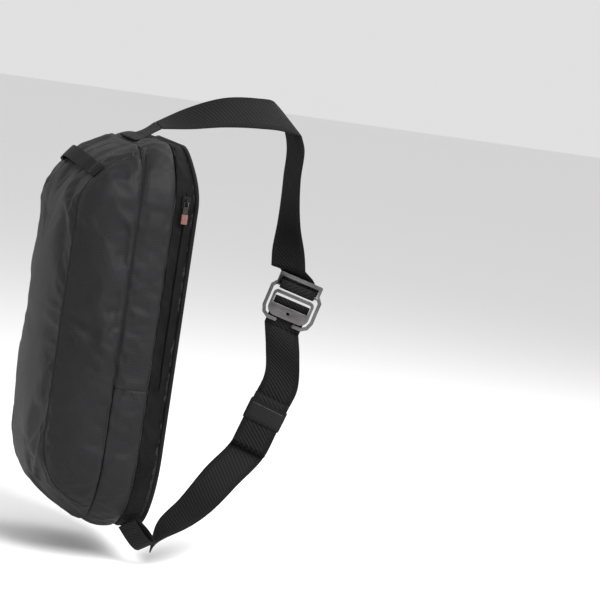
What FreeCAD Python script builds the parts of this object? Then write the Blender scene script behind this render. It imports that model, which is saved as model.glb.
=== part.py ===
"""Crossbody sling bag: soft shells, two zips, webbing strap and a two-piece metal buckle.

Lengths are millimetres. The bag is drawn with its bottom at z = 0 and its back plane at y = 0, front
towards -Y, and every piece is then placed so that the origin is the point the strap hangs from.
"""
import FreeCAD, Part
import math
import os
import Sketcher
from FreeCAD import Rotation, Vector

doc = FreeCAD.newDocument("SlingBag")

# ---------------------------------------------------------------- driving dimensions
DIMENSIONS = {
    "bag_height": 388, "bag_width": 240, "bag_depth": 116,
    "top_radius": 60, "bottom_radius": 85,
    "front_top_radius": 90, "front_bottom_radius": 80, "plan_radius": 50, "back_radius": 12,
    "fabric": 1.6, "lining": 0.8, "gap": 0.4, "seam_gap": 0.2,
    "pad_rise": 4, "pad_depth": 9, "pad_inset": 6, "foam_thick": 4, "stiffener_thick": 1.5,
    "piping_radius": 2, "band_end": 21, "zip_plane": 55, "coil_thick": 1.3, "coil_wide": 1.6,
    "tape_wide": 10, "zip_low": 150, "cover_step": 4.5, "cover_wide": 7, "cover_thick": 1.1,
    "open_angle": 30,
    "seam_from_edge": 25, "lining_inset": 3.2,
    "sleeve_depth": 34, "sleeve_drop": 108, "binding_thick": 3.4, "binding_high": 8,
    "rear_slit_low": 150, "rear_slit_drop": 43, "rear_slit_depth": 11, "rear_slit_wide": 4.6,
    "slider_long": 12, "slider_wide": 8, "slider_thick": 3.2, "slider_gap": 0.6,
    "rear_slider_drop": 51, "main_slider_drop": 88,
    "pull_long": 12, "pull_wide": 5, "pull_thick": 1, "pull_tab_long": 10,
    "webbing_wide": 38, "webbing_thick": 1.8,
    "wing_wide": 82, "loop_wide": 15, "loop_thick": 1.8, "loop_rise": 12, "loop_half": 96,
    "loop_from_front": 20, "tab_wide": 22, "tab_gap": 8,
    "strap_clear": 0.4, "hook_clear": 0.9, "hook_flare": 4.5, "hook_high": 45, "bar_thick": 4,
    "arm_wide": 3.6, "hook_thick": 3, "tip_long": 8,
    "ring_side": 2.8, "ring_high": 27, "ring_drop": 4, "ring_clear": 1.4, "ring_thick": 3,
    "ring_top": 3.6,
    "slot_high": 10.5, "ring_hole_radius": 1.6,
    "keeper_high": 22, "keeper_thick": 1.2, "tail_long": 62, "tail_drop": 11,
    "hang_y": 78, "hang_rise": 42,
}

sheet = doc.addObject("Spreadsheet::Sheet", "Sizes")
for row, (alias, number) in enumerate(DIMENSIONS.items(), start=1):
    sheet.set(f"A{row}", alias)
    sheet.set(f"B{row}", str(number))
    sheet.setAlias(f"B{row}", alias)
doc.recompute()


class Size:
    """A length that knows both its number and the sheet expression that drives it."""

    def __init__(self, number, text):
        self.number = number
        self.text = text

    def joined(self, other, sign, number):
        text = other.text if isinstance(other, Size) else repr(other)
        return Size(number, f"({self.text} {sign} {text})")

    def __add__(self, other):
        return self.joined(other, "+", self.number + plain(other))

    def __sub__(self, other):
        return self.joined(other, "-", self.number - plain(other))

    def __mul__(self, other):
        return self.joined(other, "*", self.number * plain(other))

    def __truediv__(self, other):
        return self.joined(other, "/", self.number / plain(other))

    def __neg__(self):
        return self * -1


def plain(value):
    return value.number if isinstance(value, Size) else value


def size(alias):
    return Size(float(sheet.get(alias)), f"Sizes.{alias}")


def bind(thing, name, value):
    """Set a property from the sheet, or from a plain number where it is a fixed fact."""
    if isinstance(value, Size):
        thing.setExpression(name, value.text)
    else:
        thing.setExpression(name, repr(float(value)))


height, width, depth = size("bag_height"), size("bag_width"), size("bag_depth")
fabric, gap, seam_gap = size("fabric"), size("gap"), size("seam_gap")
zip_plane, zip_low = size("zip_plane"), size("zip_low")
band_end = size("band_end")
half_width = width / 2
hang_y, hang_z = size("hang_y"), height + size("hang_rise")
hang = Vector(0, hang_y.number, hang_z.number)
finished = []


# ---------------------------------------------------------------- how pieces are made
def place(piece, label):
    """Give a finished piece its name and shift it so that the hang point is the origin."""
    piece.Label = label
    base = piece.Placement.Base
    bind(piece, "Placement.Base.y", Size(base.y, repr(base.y)) - hang_y)
    bind(piece, "Placement.Base.z", Size(base.z, repr(base.z)) - hang_z)
    finished.append(piece)
    return piece


def new_sketch(body, name, role, offset=0.0):
    """A sketch on one of the body's own origin planes, moved along that plane's normal."""
    sketch = body.newObject("Sketcher::SketchObject", name)
    plane = [item for item in body.Origin.OriginFeatures if item.Role == role][0]
    sketch.AttachmentSupport = [(plane, "")]
    sketch.MapMode = "FlatFace"
    bind(sketch, "AttachmentOffset.Base.z", offset)
    return sketch


def rounded_rectangle(sketch, name, left, low, right, high, low_radius, high_radius):
    """Four lines and four tangent arcs, with every size held by a named constraint."""
    x0, y0, x1, y1 = plain(left), plain(low), plain(right), plain(high)
    rl, rh = plain(low_radius), plain(high_radius)
    line, quarter = Part.LineSegment, math.pi / 2

    def arc(cx, cy, radius, turn):
        circle = Part.Circle(Vector(cx, cy, 0), Vector(0, 0, 1), radius)
        return Part.ArcOfCircle(circle, turn * quarter, (turn + 1) * quarter)

    edges = [
        line(Vector(x0 + rl, y0, 0), Vector(x1 - rl, y0, 0)), arc(x1 - rl, y0 + rl, rl, 3),
        line(Vector(x1, y0 + rl, 0), Vector(x1, y1 - rh, 0)), arc(x1 - rh, y1 - rh, rh, 0),
        line(Vector(x1 - rh, y1, 0), Vector(x0 + rh, y1, 0)), arc(x0 + rh, y1 - rh, rh, 1),
        line(Vector(x0, y1 - rh, 0), Vector(x0, y0 + rl, 0)), arc(x0 + rl, y0 + rl, rl, 2),
    ]
    first = sketch.GeometryCount
    sketch.addGeometry(edges, False)
    make = Sketcher.Constraint
    for step in range(8):
        here, there = first + step, first + (step + 1) % 8
        sketch.addConstraint(make("Tangent", here, 2, there, 1))
    for step in (0, 4):
        sketch.addConstraint(make("Horizontal", first + step))
    for step in (2, 6):
        sketch.addConstraint(make("Vertical", first + step))
    named = [
        (make("Radius", first + 1, rl), "low_right", low_radius),
        (make("Radius", first + 7, rl), "low_left", low_radius),
        (make("Radius", first + 3, rh), "high_right", high_radius),
        (make("Radius", first + 5, rh), "high_left", high_radius),
        (make("DistanceX", -1, 1, first + 2, 1, x1), "right", right),
        (make("DistanceX", -1, 1, first + 6, 1, x0), "left", left),
        (make("DistanceY", -1, 1, first, 1, y0), "low", low),
        (make("DistanceY", -1, 1, first + 4, 1, y1), "high", high),
    ]
    for constraint, word, value in named:
        index = sketch.addConstraint(constraint)
        sketch.renameConstraint(index, f"{name}_{word}")
        bind(sketch, f"Constraints.{name}_{word}", value)


def outline(sketch, name, inset):
    """The bag's face outline, moved inwards by the inset (outwards if negative)."""
    low_radius = size("bottom_radius") - inset
    high_radius = size("top_radius") - inset
    low = inset if isinstance(inset, Size) else Size(float(inset), repr(float(inset)))
    rounded_rectangle(sketch, name, -half_width + inset, low, half_width - inset, height - inset,
                      low_radius, high_radius)


def pad(body, sketch, length, name="Pad"):
    feature = body.newObject("PartDesign::Pad", name)
    feature.Profile = sketch
    bind(feature, "Length", length)
    body.Tip = feature
    return feature


def cut_box(body, name, role, offset, left, low, right, high, length, forwards):
    """Pocket a square-cornered block out of the body, starting from the offset plane."""
    before = body.Tip
    sketch = new_sketch(body, name + "_sketch", role, offset)
    x0, y0, x1, y1 = plain(left), plain(low), plain(right), plain(high)
    corners = [Vector(x0, y0, 0), Vector(x1, y0, 0), Vector(x1, y1, 0), Vector(x0, y1, 0)]
    for step in range(4):
        sketch.addGeometry(Part.LineSegment(corners[step], corners[(step + 1) % 4]), False)
    make = Sketcher.Constraint
    for step in range(4):
        sketch.addConstraint(make("Coincident", step, 2, (step + 1) % 4, 1))
        sketch.addConstraint(make("Vertical" if step % 2 else "Horizontal", step))
    for word, kind, value, geometry in (("left", "DistanceX", left, 0), ("low", "DistanceY", low, 0),
                                        ("right", "DistanceX", right, 2), ("high", "DistanceY", high, 2)):
        index = sketch.addConstraint(make(kind, -1, 1, geometry, 1, plain(value)))
        sketch.renameConstraint(index, word)
        bind(sketch, f"Constraints.{word}", value)
    doc.recompute()
    volume = before.Shape.Volume
    pocket = body.newObject("PartDesign::Pocket", name)
    pocket.Profile = sketch
    bind(pocket, "Length", length)
    pocket.Reversed = forwards
    body.Tip = pocket
    doc.recompute()
    if pocket.Shape.Volume > volume - 1:
        raise RuntimeError(f"{name} in {body.Name} removed nothing")
    return pocket


def slab(label, start, thick, inset, wall=None, high=None):
    """A flat sheet of the outline, or a ring of it when a wall is given, from one depth forwards."""
    body = doc.addObject("PartDesign::Body", label)
    sketch = new_sketch(body, label + "_outline", "XZ_Plane", start)
    outline(sketch, "outer", inset)
    if wall is not None:
        outline(sketch, "inner", inset + wall)
    pad(body, sketch, thick)
    if high is not None:
        reach = height
        cut_box(body, "above", "XZ_Plane", -depth, -width, high, width, high + reach, depth * 3, True)
    return body


def above_zip_ends(body):
    """Leave only the stretch of a ring that lies above the zip's low ends."""
    cut_box(body, "below", "XZ_Plane", -depth, -width, -depth, width, zip_low + gap, depth * 3, True)
    return body


# ---------------------------------------------------------------- the bag's overall form
def silhouettes(name, inset):
    """The bag's form: what its face, side and plan outlines have in common."""
    face = slab(name + "_face", 0.0, depth - inset, inset)
    side = doc.addObject("PartDesign::Body", name + "_side")
    sketch = new_sketch(side, name + "_side_outline", "YZ_Plane", -width)
    front, back = -depth + inset, Size(0.0, "0.0") - inset
    side_profile(sketch, front, back, inset)
    pad(side, sketch, width * 2)
    plan = doc.addObject("PartDesign::Body", name + "_plan")
    sketch = new_sketch(plan, name + "_plan_outline", "XY_Plane", -depth)
    rounded_rectangle(sketch, "plan", -half_width + inset, front, half_width - inset, back,
                      size("plan_radius") - inset, size("back_radius") - inset)
    pad(plan, sketch, height + depth * 2)
    common = doc.addObject("Part::MultiCommon", name)
    common.Shapes = [face, side, plan]
    return common


def side_profile(sketch, front, back, inset):
    """Side outline: large radii at the front corners, square at the back."""
    y0, y1, z0, z1 = plain(front), plain(back), plain(inset), plain(height - inset)
    low_radius = size("front_bottom_radius") - inset
    high_radius = size("front_top_radius") - inset
    rl, rh = low_radius.number, high_radius.number
    low_circle = Part.Circle(Vector(y0 + rl, z0 + rl, 0), Vector(0, 0, 1), rl)
    high_circle = Part.Circle(Vector(y0 + rh, z1 - rh, 0), Vector(0, 0, 1), rh)
    sketch.addGeometry([
        Part.LineSegment(Vector(y0 + rl, z0, 0), Vector(y1, z0, 0)),
        Part.LineSegment(Vector(y1, z0, 0), Vector(y1, z1, 0)),
        Part.LineSegment(Vector(y1, z1, 0), Vector(y0 + rh, z1, 0)),
        Part.ArcOfCircle(high_circle, math.pi / 2, math.pi),
        Part.LineSegment(Vector(y0, z1 - rh, 0), Vector(y0, z0 + rl, 0)),
        Part.ArcOfCircle(low_circle, math.pi, 1.5 * math.pi),
    ], False)
    make = Sketcher.Constraint
    for here, there in ((0, 1), (1, 2)):
        sketch.addConstraint(make("Coincident", here, 2, there, 1))
    for here, there in ((2, 3), (3, 4), (4, 5), (5, 0)):
        sketch.addConstraint(make("Tangent", here, 2, there, 1))
    for line, kind in ((0, "Horizontal"), (1, "Vertical"), (2, "Horizontal"), (4, "Vertical")):
        sketch.addConstraint(make(kind, line))
    named = [
        (make("Radius", 3, rh), "high_radius", high_radius),
        (make("Radius", 5, rl), "low_radius", low_radius),
        (make("DistanceX", -1, 1, 1, 1, y1), "back", back),
        (make("DistanceX", -1, 1, 4, 1, y0), "front", front),
        (make("DistanceY", -1, 1, 0, 2, z0), "low", inset),
        (make("DistanceY", -1, 1, 2, 1, z1), "high", height - inset),
    ]
    for constraint, word, value in named:
        index = sketch.addConstraint(constraint)
        sketch.renameConstraint(index, word)
        bind(sketch, f"Constraints.{word}", value)


def box(name, x0, y0, z0, x1, y1, z1):
    """A cutting block between two corners."""
    block = doc.addObject("Part::Box", name)
    for letter, low, side, high in (("x", x0, "Length", x1), ("y", y0, "Width", y1), ("z", z0, "Height", z1)):
        bind(block, f"Placement.Base.{letter}", low)
        bind(block, side, high - low)
    return block


def block_piece(label, x0, y0, z0, x1, y1, z1):
    """A plain block that is a piece in its own right."""
    block = box(label, x0, y0 - hang_y, z0 - hang_z, x1, y1 - hang_y, z1 - hang_z)
    finished.append(block)
    return block


def common_of(name, *shapes):
    both = doc.addObject("Part::MultiCommon", name)
    both.Shapes = list(shapes)
    return both


def cut_from(name, base, tool):
    cut = doc.addObject("Part::Cut", name)
    cut.Base, cut.Tool = base, tool
    return cut


zero = Size(0.0, "0.0")


def shell(name, inset, thick):
    """A closed skin of the bag's form."""
    return cut_from(name, silhouettes(name + "_out", inset), silhouettes(name + "_in", inset + thick))


lining_thick = size("lining")
fabric_shell = shell("fabric_shell", zero, fabric)
tape_shell = shell("tape_shell", fabric + seam_gap, lining_thick)
lining_shell = shell("lining_shell", size("lining_inset"), lining_thick)
cover_shell = shell("cover_shell", -seam_gap - size("cover_thick"), size("cover_thick"))

# ---------------------------------------------------------------- back panel and rear pocket
pad_inset, pad_depth = size("pad_inset"), size("pad_depth")
place(slab("back_panel", -size("pad_rise"), size("pad_rise") + pad_depth, pad_inset), "back_panel")

foam_start = pad_depth + gap
place(slab("back_foam", foam_start, size("foam_thick"), pad_inset + gap), "back_foam")

stiffener_start = foam_start + size("foam_thick") + gap
place(slab("back_stiffener", stiffener_start, size("stiffener_thick"), pad_inset + gap), "back_stiffener")

slit_half = size("rear_slit_wide") / 2
slit_depth = size("rear_slit_depth")
slit_low, slit_high = size("rear_slit_low"), height - size("rear_slit_drop")


def rear_band():
    """Woven band round the back edge, with the slit that the rear pocket zip sits in."""
    body = slab("rear_band", 1.0, band_end - 1.0, zero, fabric)
    cut_box(body, "zip_slit", "YZ_Plane", half_width - fabric * 8, -slit_depth - slit_half, slit_low,
            -slit_depth + slit_half, slit_high, fabric * 16, True)
    return body


place(rear_band(), "rear_band")


def back_piping():
    """Round cord sewn into the edge between the back panel and the band."""
    guide = doc.addObject("PartDesign::Body", "piping_guide")
    sketch = new_sketch(guide, "piping_line", "XZ_Plane", -size("piping_radius") * 0.7)
    outline(sketch, "line", size("piping_radius") / 2)
    doc.recompute()
    path = Part.Wire(Part.__sortEdges__(sketch.Shape.Edges))
    start = path.Edges[0].valueAt(path.Edges[0].FirstParameter)
    along = path.Edges[0].tangentAt(path.Edges[0].FirstParameter)
    ring_section = Part.Wire(Part.makeCircle(size("piping_radius").number, start, along))
    piping = doc.addObject("Part::Feature", "back_piping")
    piping.Shape = path.makePipeShell([ring_section], True, True)
    return piping


place(back_piping(), "back_piping")
place(slab("rear_pocket_divider", band_end - lining_thick, lining_thick, fabric + seam_gap),
      "rear_pocket_divider")


def between_depths(name, near, far, low=-1.0, high=None):
    """Everything between two depths from the back plane, and between two heights."""
    top = height + 50 if high is None else high
    return box(name, -width, -far, low, width, -near, top)


def band_piece(label, skin, near, far, low=-1.0, high=None):
    """The stretch of a skin between two depths."""
    return place(common_of(label + "_piece", skin, between_depths(label + "_region", near, far, low, high)),
                 label)


def rear_zip_strip(label, inwards, thick, wide):
    """Strip behind or in the slit of the rear band: its side wall is flat over this height."""
    block_piece(label, half_width - inwards - thick, -slit_depth - wide / 2, slit_low + gap,
                half_width - inwards, -slit_depth + wide / 2, height - size("top_radius"))


coil_wide = size("coil_wide")
rear_zip_strip("rear_zip_tape", fabric + seam_gap, lining_thick, slit_half * 4)
rear_zip_strip("rear_zip_coil", seam_gap, coil_wide - seam_gap, slit_half * 2 - gap * 2)

# ---------------------------------------------------------------- gusset, main zip, linings, sleeve
coil_thick = size("coil_thick")
gusset_end = zip_plane - coil_thick - seam_gap
front_start = zip_plane + coil_thick + seam_gap
tape_wide = size("tape_wide")
above_ends = zip_low + gap
band_piece("body_gusset", fabric_shell, band_end + seam_gap, gusset_end)
band_piece("main_zip_tape_back", tape_shell, zip_plane - seam_gap - tape_wide, zip_plane - seam_gap,
           above_ends)
band_piece("main_zip_coil_back", fabric_shell, gusset_end + seam_gap / 2, zip_plane - seam_gap / 2,
           above_ends)
band_piece("body_lining", lining_shell, band_end + seam_gap, zip_plane - tape_wide - gap)
band_piece("lower_lining", lining_shell, zip_plane + gap, depth, -1.0, zip_low - gap)

lining_inset, sleeve_depth = size("lining_inset"), size("sleeve_depth")
sleeve_top = height - size("sleeve_drop")
place(slab("tablet_sleeve", sleeve_depth, lining_thick, lining_inset * 2, None, sleeve_top), "tablet_sleeve")


def sleeve_binding():
    """Rounded binding along the sleeve's open top edge."""
    half_thick = size("binding_thick") / 2
    middle = -sleeve_depth - lining_thick / 2
    reach = half_width - lining_inset * 2
    bar = box("sleeve_binding_bar", -reach, middle - half_thick, sleeve_top + seam_gap,
              reach, middle + half_thick, sleeve_top + size("binding_high"))
    doc.recompute()
    rounded = doc.addObject("Part::Fillet", "sleeve_binding_round")
    rounded.Base = bar
    radius = half_thick.number * 0.9
    rounded.Edges = [(number + 1, radius, radius) for number, edge in enumerate(bar.Shape.Edges)
                     if edge.BoundBox.XLength > width.number / 2]
    return rounded


place(sleeve_binding(), "sleeve_binding")

# ---------------------------------------------------------------- front: lower shell, fold, flap
front_seam = half_width - size("seam_from_edge")


def flap_region():
    """The front above a plane that rises forwards from the zip's low ends, so the flap can fold down."""
    body = doc.addObject("PartDesign::Body", "flap_region")
    sketch = new_sketch(body, "flap_region_side", "YZ_Plane", -width)
    back, low, high = -zip_plane, above_ends, height + 50
    reach = depth * 2
    rise = math.tan(math.radians(size("open_angle").number))
    front_low = Size(low.number + reach.number * rise,
                     f"({low.text} + {reach.text} * tan(Sizes.open_angle * 1deg))")
    corners = [(back, low), (back, high), (back - reach, high), (back - reach, front_low)]
    points = [Vector(plain(y), plain(z), 0) for y, z in corners]
    make = Sketcher.Constraint
    for step in range(4):
        sketch.addGeometry(Part.LineSegment(points[step], points[(step + 1) % 4]), False)
    for step in range(4):
        sketch.addConstraint(make("Coincident", step, 2, (step + 1) % 4, 1))
    for step, (y, z) in enumerate(corners):
        for word, kind, value in (("y", "DistanceX", y), ("z", "DistanceY", z)):
            index = sketch.addConstraint(make(kind, -1, 1, step, 1, plain(value)))
            sketch.renameConstraint(index, f"{word}{step}")
            bind(sketch, f"Constraints.{word}{step}", value)
    pad(body, sketch, width * 2)
    return body


flap_zone = flap_region()
columns = {
    "side_panel_right": (front_seam + seam_gap / 2, width),
    "side_panel_left": (-width, -front_seam - seam_gap / 2),
    "front_panel": (-front_seam + seam_gap / 2, front_seam - seam_gap / 2),
}
for name, (from_x, to_x) in columns.items():
    below = box("lower_" + name + "_region", from_x, -depth * 2, -1.0, to_x, -gusset_end - seam_gap,
                zip_low - gap)
    place(common_of("lower_" + name + "_piece", fabric_shell, below), "lower_" + name)
    above = box("upper_" + name + "_region", from_x, -depth * 2, -1.0, to_x, -front_start, height + 50)
    place(common_of("upper_" + name + "_piece", fabric_shell, flap_zone, above), "upper_" + name)


def flap_piece(label, skin, near, far):
    region = between_depths(label + "_region", near, far)
    return place(common_of(label + "_piece", skin, flap_zone, region), label)


flap_piece("main_zip_tape_front", tape_shell, zip_plane + seam_gap, zip_plane + seam_gap + tape_wide)
flap_piece("main_zip_coil_front", fabric_shell, zip_plane + seam_gap / 2, front_start - seam_gap / 2)
cover_start = zip_plane + size("cover_step")
flap_piece("zip_cover", cover_shell, cover_start, cover_start + size("cover_wide"))
flap_piece("flap_lining", lining_shell, zip_plane + seam_gap + tape_wide + gap, depth)

fold_start = zip_plane + tape_wide
fold_region = between_depths("fold_region", fold_start, depth, zip_low, zip_low + depth)
fold_block = common_of("fold_block", fabric_shell, fold_region)
place(cut_from("front_fold", fold_block, flap_zone), "front_fold")

for side, sign in (("right", 1), ("left", -1)):
    inner = half_width * sign + seam_gap * sign
    outer = inner + fabric * 0.75 * sign
    low_x, high_x = (inner, outer) if sign > 0 else (outer, inner)
    block_piece(f"zip_end_{side}", low_x, -zip_plane - tape_wide, zip_low - tape_wide, high_x,
                -zip_plane + tape_wide, zip_low - gap)

# ---------------------------------------------------------------- webbing
webbing_half = size("webbing_wide").number / 2
webbing_thick = size("webbing_thick").number


def ribbon(stations, thick, samples=6, closed_ends=True):
    """Flat webbing: a smooth run through (centre, half-width vector) stations."""
    centre_line = Part.BSplineCurve()
    centre_line.interpolate([centre for centre, half in stations])
    edge_line = Part.BSplineCurve()
    edge_line.interpolate([centre + half for centre, half in stations],
                          Parameters=centre_line.getKnots())
    count = samples * (len(stations) - 1)
    first, last = centre_line.FirstParameter, centre_line.LastParameter
    sections = []
    for step in range(count + 1):
        at = first + (last - first) * step / count
        centre, half = centre_line.value(at), edge_line.value(at) - centre_line.value(at)
        along = Vector(*centre_line.tangent(at)[0])
        up = along.cross(half).normalize() * (thick / 2)
        corners = [centre + half + up, centre - half + up, centre - half - up, centre + half - up]
        sections.append(Part.makePolygon(corners + corners[:1]))
    return Part.makeLoft(sections, True, True)


def shape_piece(label, shape):
    """A piece whose shape is computed, kept as a feature of the document."""
    piece = doc.addObject("Part::Feature", label)
    piece.Shape = shape
    return place(piece, label)


def surface_height(at_depth):
    """Height of the bag's top on its centre line, at a depth from the back plane."""
    radius = size("front_top_radius").number
    along = at_depth - (depth.number - radius)
    drop = 0 if along <= 0 else radius - math.sqrt(radius * radius - along * along)
    return height.number - drop


wing_half = size("wing_wide").number / 2
wing_lift = webbing_thick / 2 + gap.number * 2.5
top = height.number
base_depth = gusset_end.number
wing_tip = Vector(0, -24, top + 14)
near_depth = base_depth * 0.8
wing_stations = [
    (Vector(0, -base_depth, surface_height(base_depth) + wing_lift), Vector(wing_half, 0, 0)),
    (Vector(0, -near_depth, surface_height(near_depth) + wing_lift * 1.4), Vector(wing_half * 0.8, 0, 0)),
    (Vector(0, -base_depth * 0.62, top + 7), Vector(wing_half * 0.6, 0, 0)),
    (wing_tip, Vector(webbing_half, 0, -2)),
]
shape_piece("top_wing", ribbon(wing_stations, webbing_thick))

joint_gap = Vector(0, webbing_thick * 0.8, 0)
drawn_height, drawn_width = 388, 240


def hanging(x, y, z):
    """A point of the hanging strap's line, drawn for one size of bag and spread with the bag."""
    return Vector(x * width.number / drawn_width, y, z * top / drawn_height)


upper_run = [
    (wing_tip + joint_gap, Vector(webbing_half, 0, -2)),
    (Vector(0, 6, top + 25), Vector(16.5, 0, -9.4)),
    (Vector(0, 42, top + 36), Vector(12.6, 0, -14.2)),
    (Vector(0, 78, top + 40), Vector(12, 1, -14.7)),
    (Vector(-2, 98, top + 40), Vector(11.5, 5, -14.3)),
    (Vector(-2, 111, top + 37), Vector(12, 12, -13.5)),
]
drop_run = [
    (Vector(-2, 111.5, top + 35), Vector(12, 12, -13.5)),
    (Vector(0, 120, top + 14), Vector(17.5, 6, -4)),
    (Vector(0, 122, top - 22), Vector(18.5, 4.5, 0)),
    (hanging(0, 126, 320), Vector(17, 8, 0)),
    (hanging(0, 130, 290), Vector(12, 14.6, 0)),
]

# the buckle's own frame: across the webbing, up its length, and out of its face
across = Vector(0.252, 0.935, -0.25).normalize()
facing = Vector(0.966, -0.259, 0.0)
facing = (facing - across * facing.dot(across)).normalize()
upwards = facing.cross(across)
buckle_centre = hanging(0, 143, 244)


def in_buckle(u, v, n):
    return buckle_centre + across * u + upwards * v + facing * n


half_across = across * webbing_half
bend_below = -33
strap_bend = buckle_centre + Vector(-1, -10.5, 31)
strap_bend_half = Vector(10.5, 15.8, -0.5)
bend_gap = webbing_thick
drop_run.append((strap_bend + Vector(0, 0, bend_gap), strap_bend_half))
upper_webbing = ribbon(upper_run, webbing_thick).fuse(ribbon(drop_run, webbing_thick))
shape_piece("upper_webbing", upper_webbing)

crossbar_v, crossbar_half = 9.5, 1.5
wrap = crossbar_half + webbing_thick / 2 + gap.number
upper_end = [
    (strap_bend, strap_bend_half),
    (in_buckle(-5, 22.5, -4), half_across),
    (in_buckle(-1, 15.5, -3.2), half_across),
    (in_buckle(0, crossbar_v + 1, -wrap), half_across),
    (in_buckle(0, crossbar_v - wrap * 0.8, -wrap * 0.75), half_across),
    (in_buckle(0, crossbar_v - wrap * 1.12, 0), half_across),
    (in_buckle(0, crossbar_v - wrap * 0.8, wrap * 0.75), half_across),
    (in_buckle(0, crossbar_v + 1, wrap), half_across),
    (in_buckle(0, 15.5, wrap * 0.8), half_across),
]
shape_piece("upper_strap_end", ribbon(upper_end, webbing_thick))

# ---------------------------------------------------------------- buckle
arm_half = size("arm_wide").number / 2
hook_thick, bar_thick = size("hook_thick").number, size("bar_thick").number
ring_top_v = size("ring_drop").number


def bar_between(points, half, thick):
    """A flat bar of even width along a line of points in the buckle's plane, with round joints."""
    parts = []
    for (u0, v0), (u1, v1) in zip(points, points[1:]):
        length = math.hypot(u1 - u0, v1 - v0)
        turn = math.degrees(math.atan2(v1 - v0, u1 - u0))
        straight = Part.makeBox(length, half * 2, thick, Vector(0, -half, -thick / 2))
        straight.Placement = FreeCAD.Placement(Vector(u0, v0, 0), Rotation(Vector(0, 0, 1), turn))
        parts.append(straight)
    for u, v in points:
        parts.append(Part.makeCylinder(half, thick, Vector(u, v, -thick / 2)))
    return parts[0].multiFuse(parts[1:]).removeSplitter()


buckle_place = FreeCAD.Placement(buckle_centre, Rotation(across, upwards, facing, "ZXY"))


def hook_frame():
    """Top bar, crossbar and two arms that flare out and curl in under the ring."""
    half = webbing_half + size("hook_clear").number + arm_half
    flare = half + size("hook_flare").number
    high = size("hook_high").number / 2
    top_v = high - bar_thick / 2
    tip_v = ring_top_v - size("ring_high").number - size("ring_clear").number - arm_half
    arm = [(half, top_v), (half, crossbar_v + 2), (flare, ring_top_v + 2), (flare, tip_v + 10),
           (flare - 2.5, tip_v + 3.5), (flare - 8, tip_v), (flare - 8 - size("tip_long").number, tip_v)]
    frame = bar_between([(-half, top_v), (half, top_v)], bar_thick / 2, hook_thick)
    crossbar_end = (half + flare) / 2
    crossbar = bar_between([(-crossbar_end, crossbar_v), (crossbar_end, crossbar_v)], crossbar_half,
                           hook_thick)
    right = bar_between(arm, arm_half, hook_thick)
    left = bar_between([(-u, v) for u, v in arm], arm_half, hook_thick)
    whole = frame.multiFuse([crossbar, right, left]).removeSplitter()
    whole.Placement = buckle_place
    return whole


shape_piece("hook_frame", hook_frame())


def ring():
    """Slotted ring: webbing slot above, wide lower bar with a small hole."""
    body = doc.addObject("PartDesign::Body", "buckle_ring")
    thick = size("ring_thick")
    sketch = new_sketch(body, "ring_outline", "XY_Plane", -thick / 2)
    slot_half = size("webbing_wide") / 2 + size("strap_clear")
    half, ring_high = slot_half + size("ring_side"), size("ring_high")
    high = size("ring_drop")
    low = high - ring_high
    rounded_rectangle(sketch, "outer", -half, low, half, high, Size(9.0, "9.0"), Size(5.0, "5.0"))
    slot_high = high - size("ring_top")
    slot_low = slot_high - size("slot_high")
    corner = Size(2.0, "2.0")
    rounded_rectangle(sketch, "slot", -slot_half, slot_low, slot_half, slot_high, corner, corner)
    hole = sketch.addGeometry(Part.Circle(Vector(0, low.number + 6.5, 0), Vector(0, 0, 1),
                                          size("ring_hole_radius").number), False)
    make = Sketcher.Constraint
    for constraint, word, value in (
            (make("Radius", hole, size("ring_hole_radius").number), "hole_radius", size("ring_hole_radius")),
            (make("DistanceX", -1, 1, hole, 3, 0.0), "hole_across", zero),
            (make("DistanceY", -1, 1, hole, 3, low.number + 6.5), "hole_up", low + 6.5)):
        index = sketch.addConstraint(constraint)
        sketch.renameConstraint(index, word)
        bind(sketch, f"Constraints.{word}", value)
    pad(body, sketch, thick)
    body.Placement = FreeCAD.Placement(buckle_centre - hang, buckle_place.Rotation)
    body.Label = "buckle_ring"
    finished.append(body)
    return body


ring()

slot_middle = ring_top_v - size("ring_top").number - size("slot_high").number / 2
ring_low = ring_top_v - size("ring_high").number
ring_wrap = size("ring_thick").number / 2 + webbing_thick / 2 + gap.number
lower_end = [
    (in_buckle(0, slot_middle + 2.5, 0.6), half_across),
    (in_buckle(0, slot_middle - 1.5, -0.8), half_across),
    (in_buckle(0, slot_middle - 6.2, -ring_wrap * 1.15), half_across),
    (in_buckle(0, ring_low + 4, -ring_wrap * 1.2), half_across),
    (in_buckle(0, ring_low - 3, -ring_wrap * 1.3), half_across),
    (in_buckle(0, bend_below + bend_gap, -4.5), half_across),
]
shape_piece("lower_strap_end", ribbon(lower_end, webbing_thick))

# ---------------------------------------------------------------- lower strap, keeper, tail, tab
bag_corner = Vector(half_width.number - 31, -15, 11)
tab_tip = bag_corner + Vector(-1, 22, -22)
tab_along = (tab_tip - bag_corner).normalize()
tab_across = Vector(0.62, 0.3, 0.72)
tab_across = (tab_across - tab_along * tab_across.dot(tab_along)).normalize()
tab_normal = tab_along.cross(tab_across)
tab_half = tab_across * (size("tab_wide").number / 2)
tab_long = (tab_tip - bag_corner).Length


def bottom_tab():
    """Webbing tab folded into a loop, both ends sewn into the band's edge."""
    half_gap = size("tab_gap").number / 2 + webbing_thick / 2
    path = [(-0.02, 0.5), (0.35, 0.9), (0.7, 1.0), (0.92, 0.6), (1.0, 0.0)]
    both = path + [(along, -off) for along, off in reversed(path[:-1])]
    stations = [(bag_corner + tab_along * (tab_long * along) + tab_normal * (half_gap * off), tab_half)
                for along, off in both]
    return ribbon(stations, webbing_thick, 3)


shape_piece("bottom_tab", bottom_tab())

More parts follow.
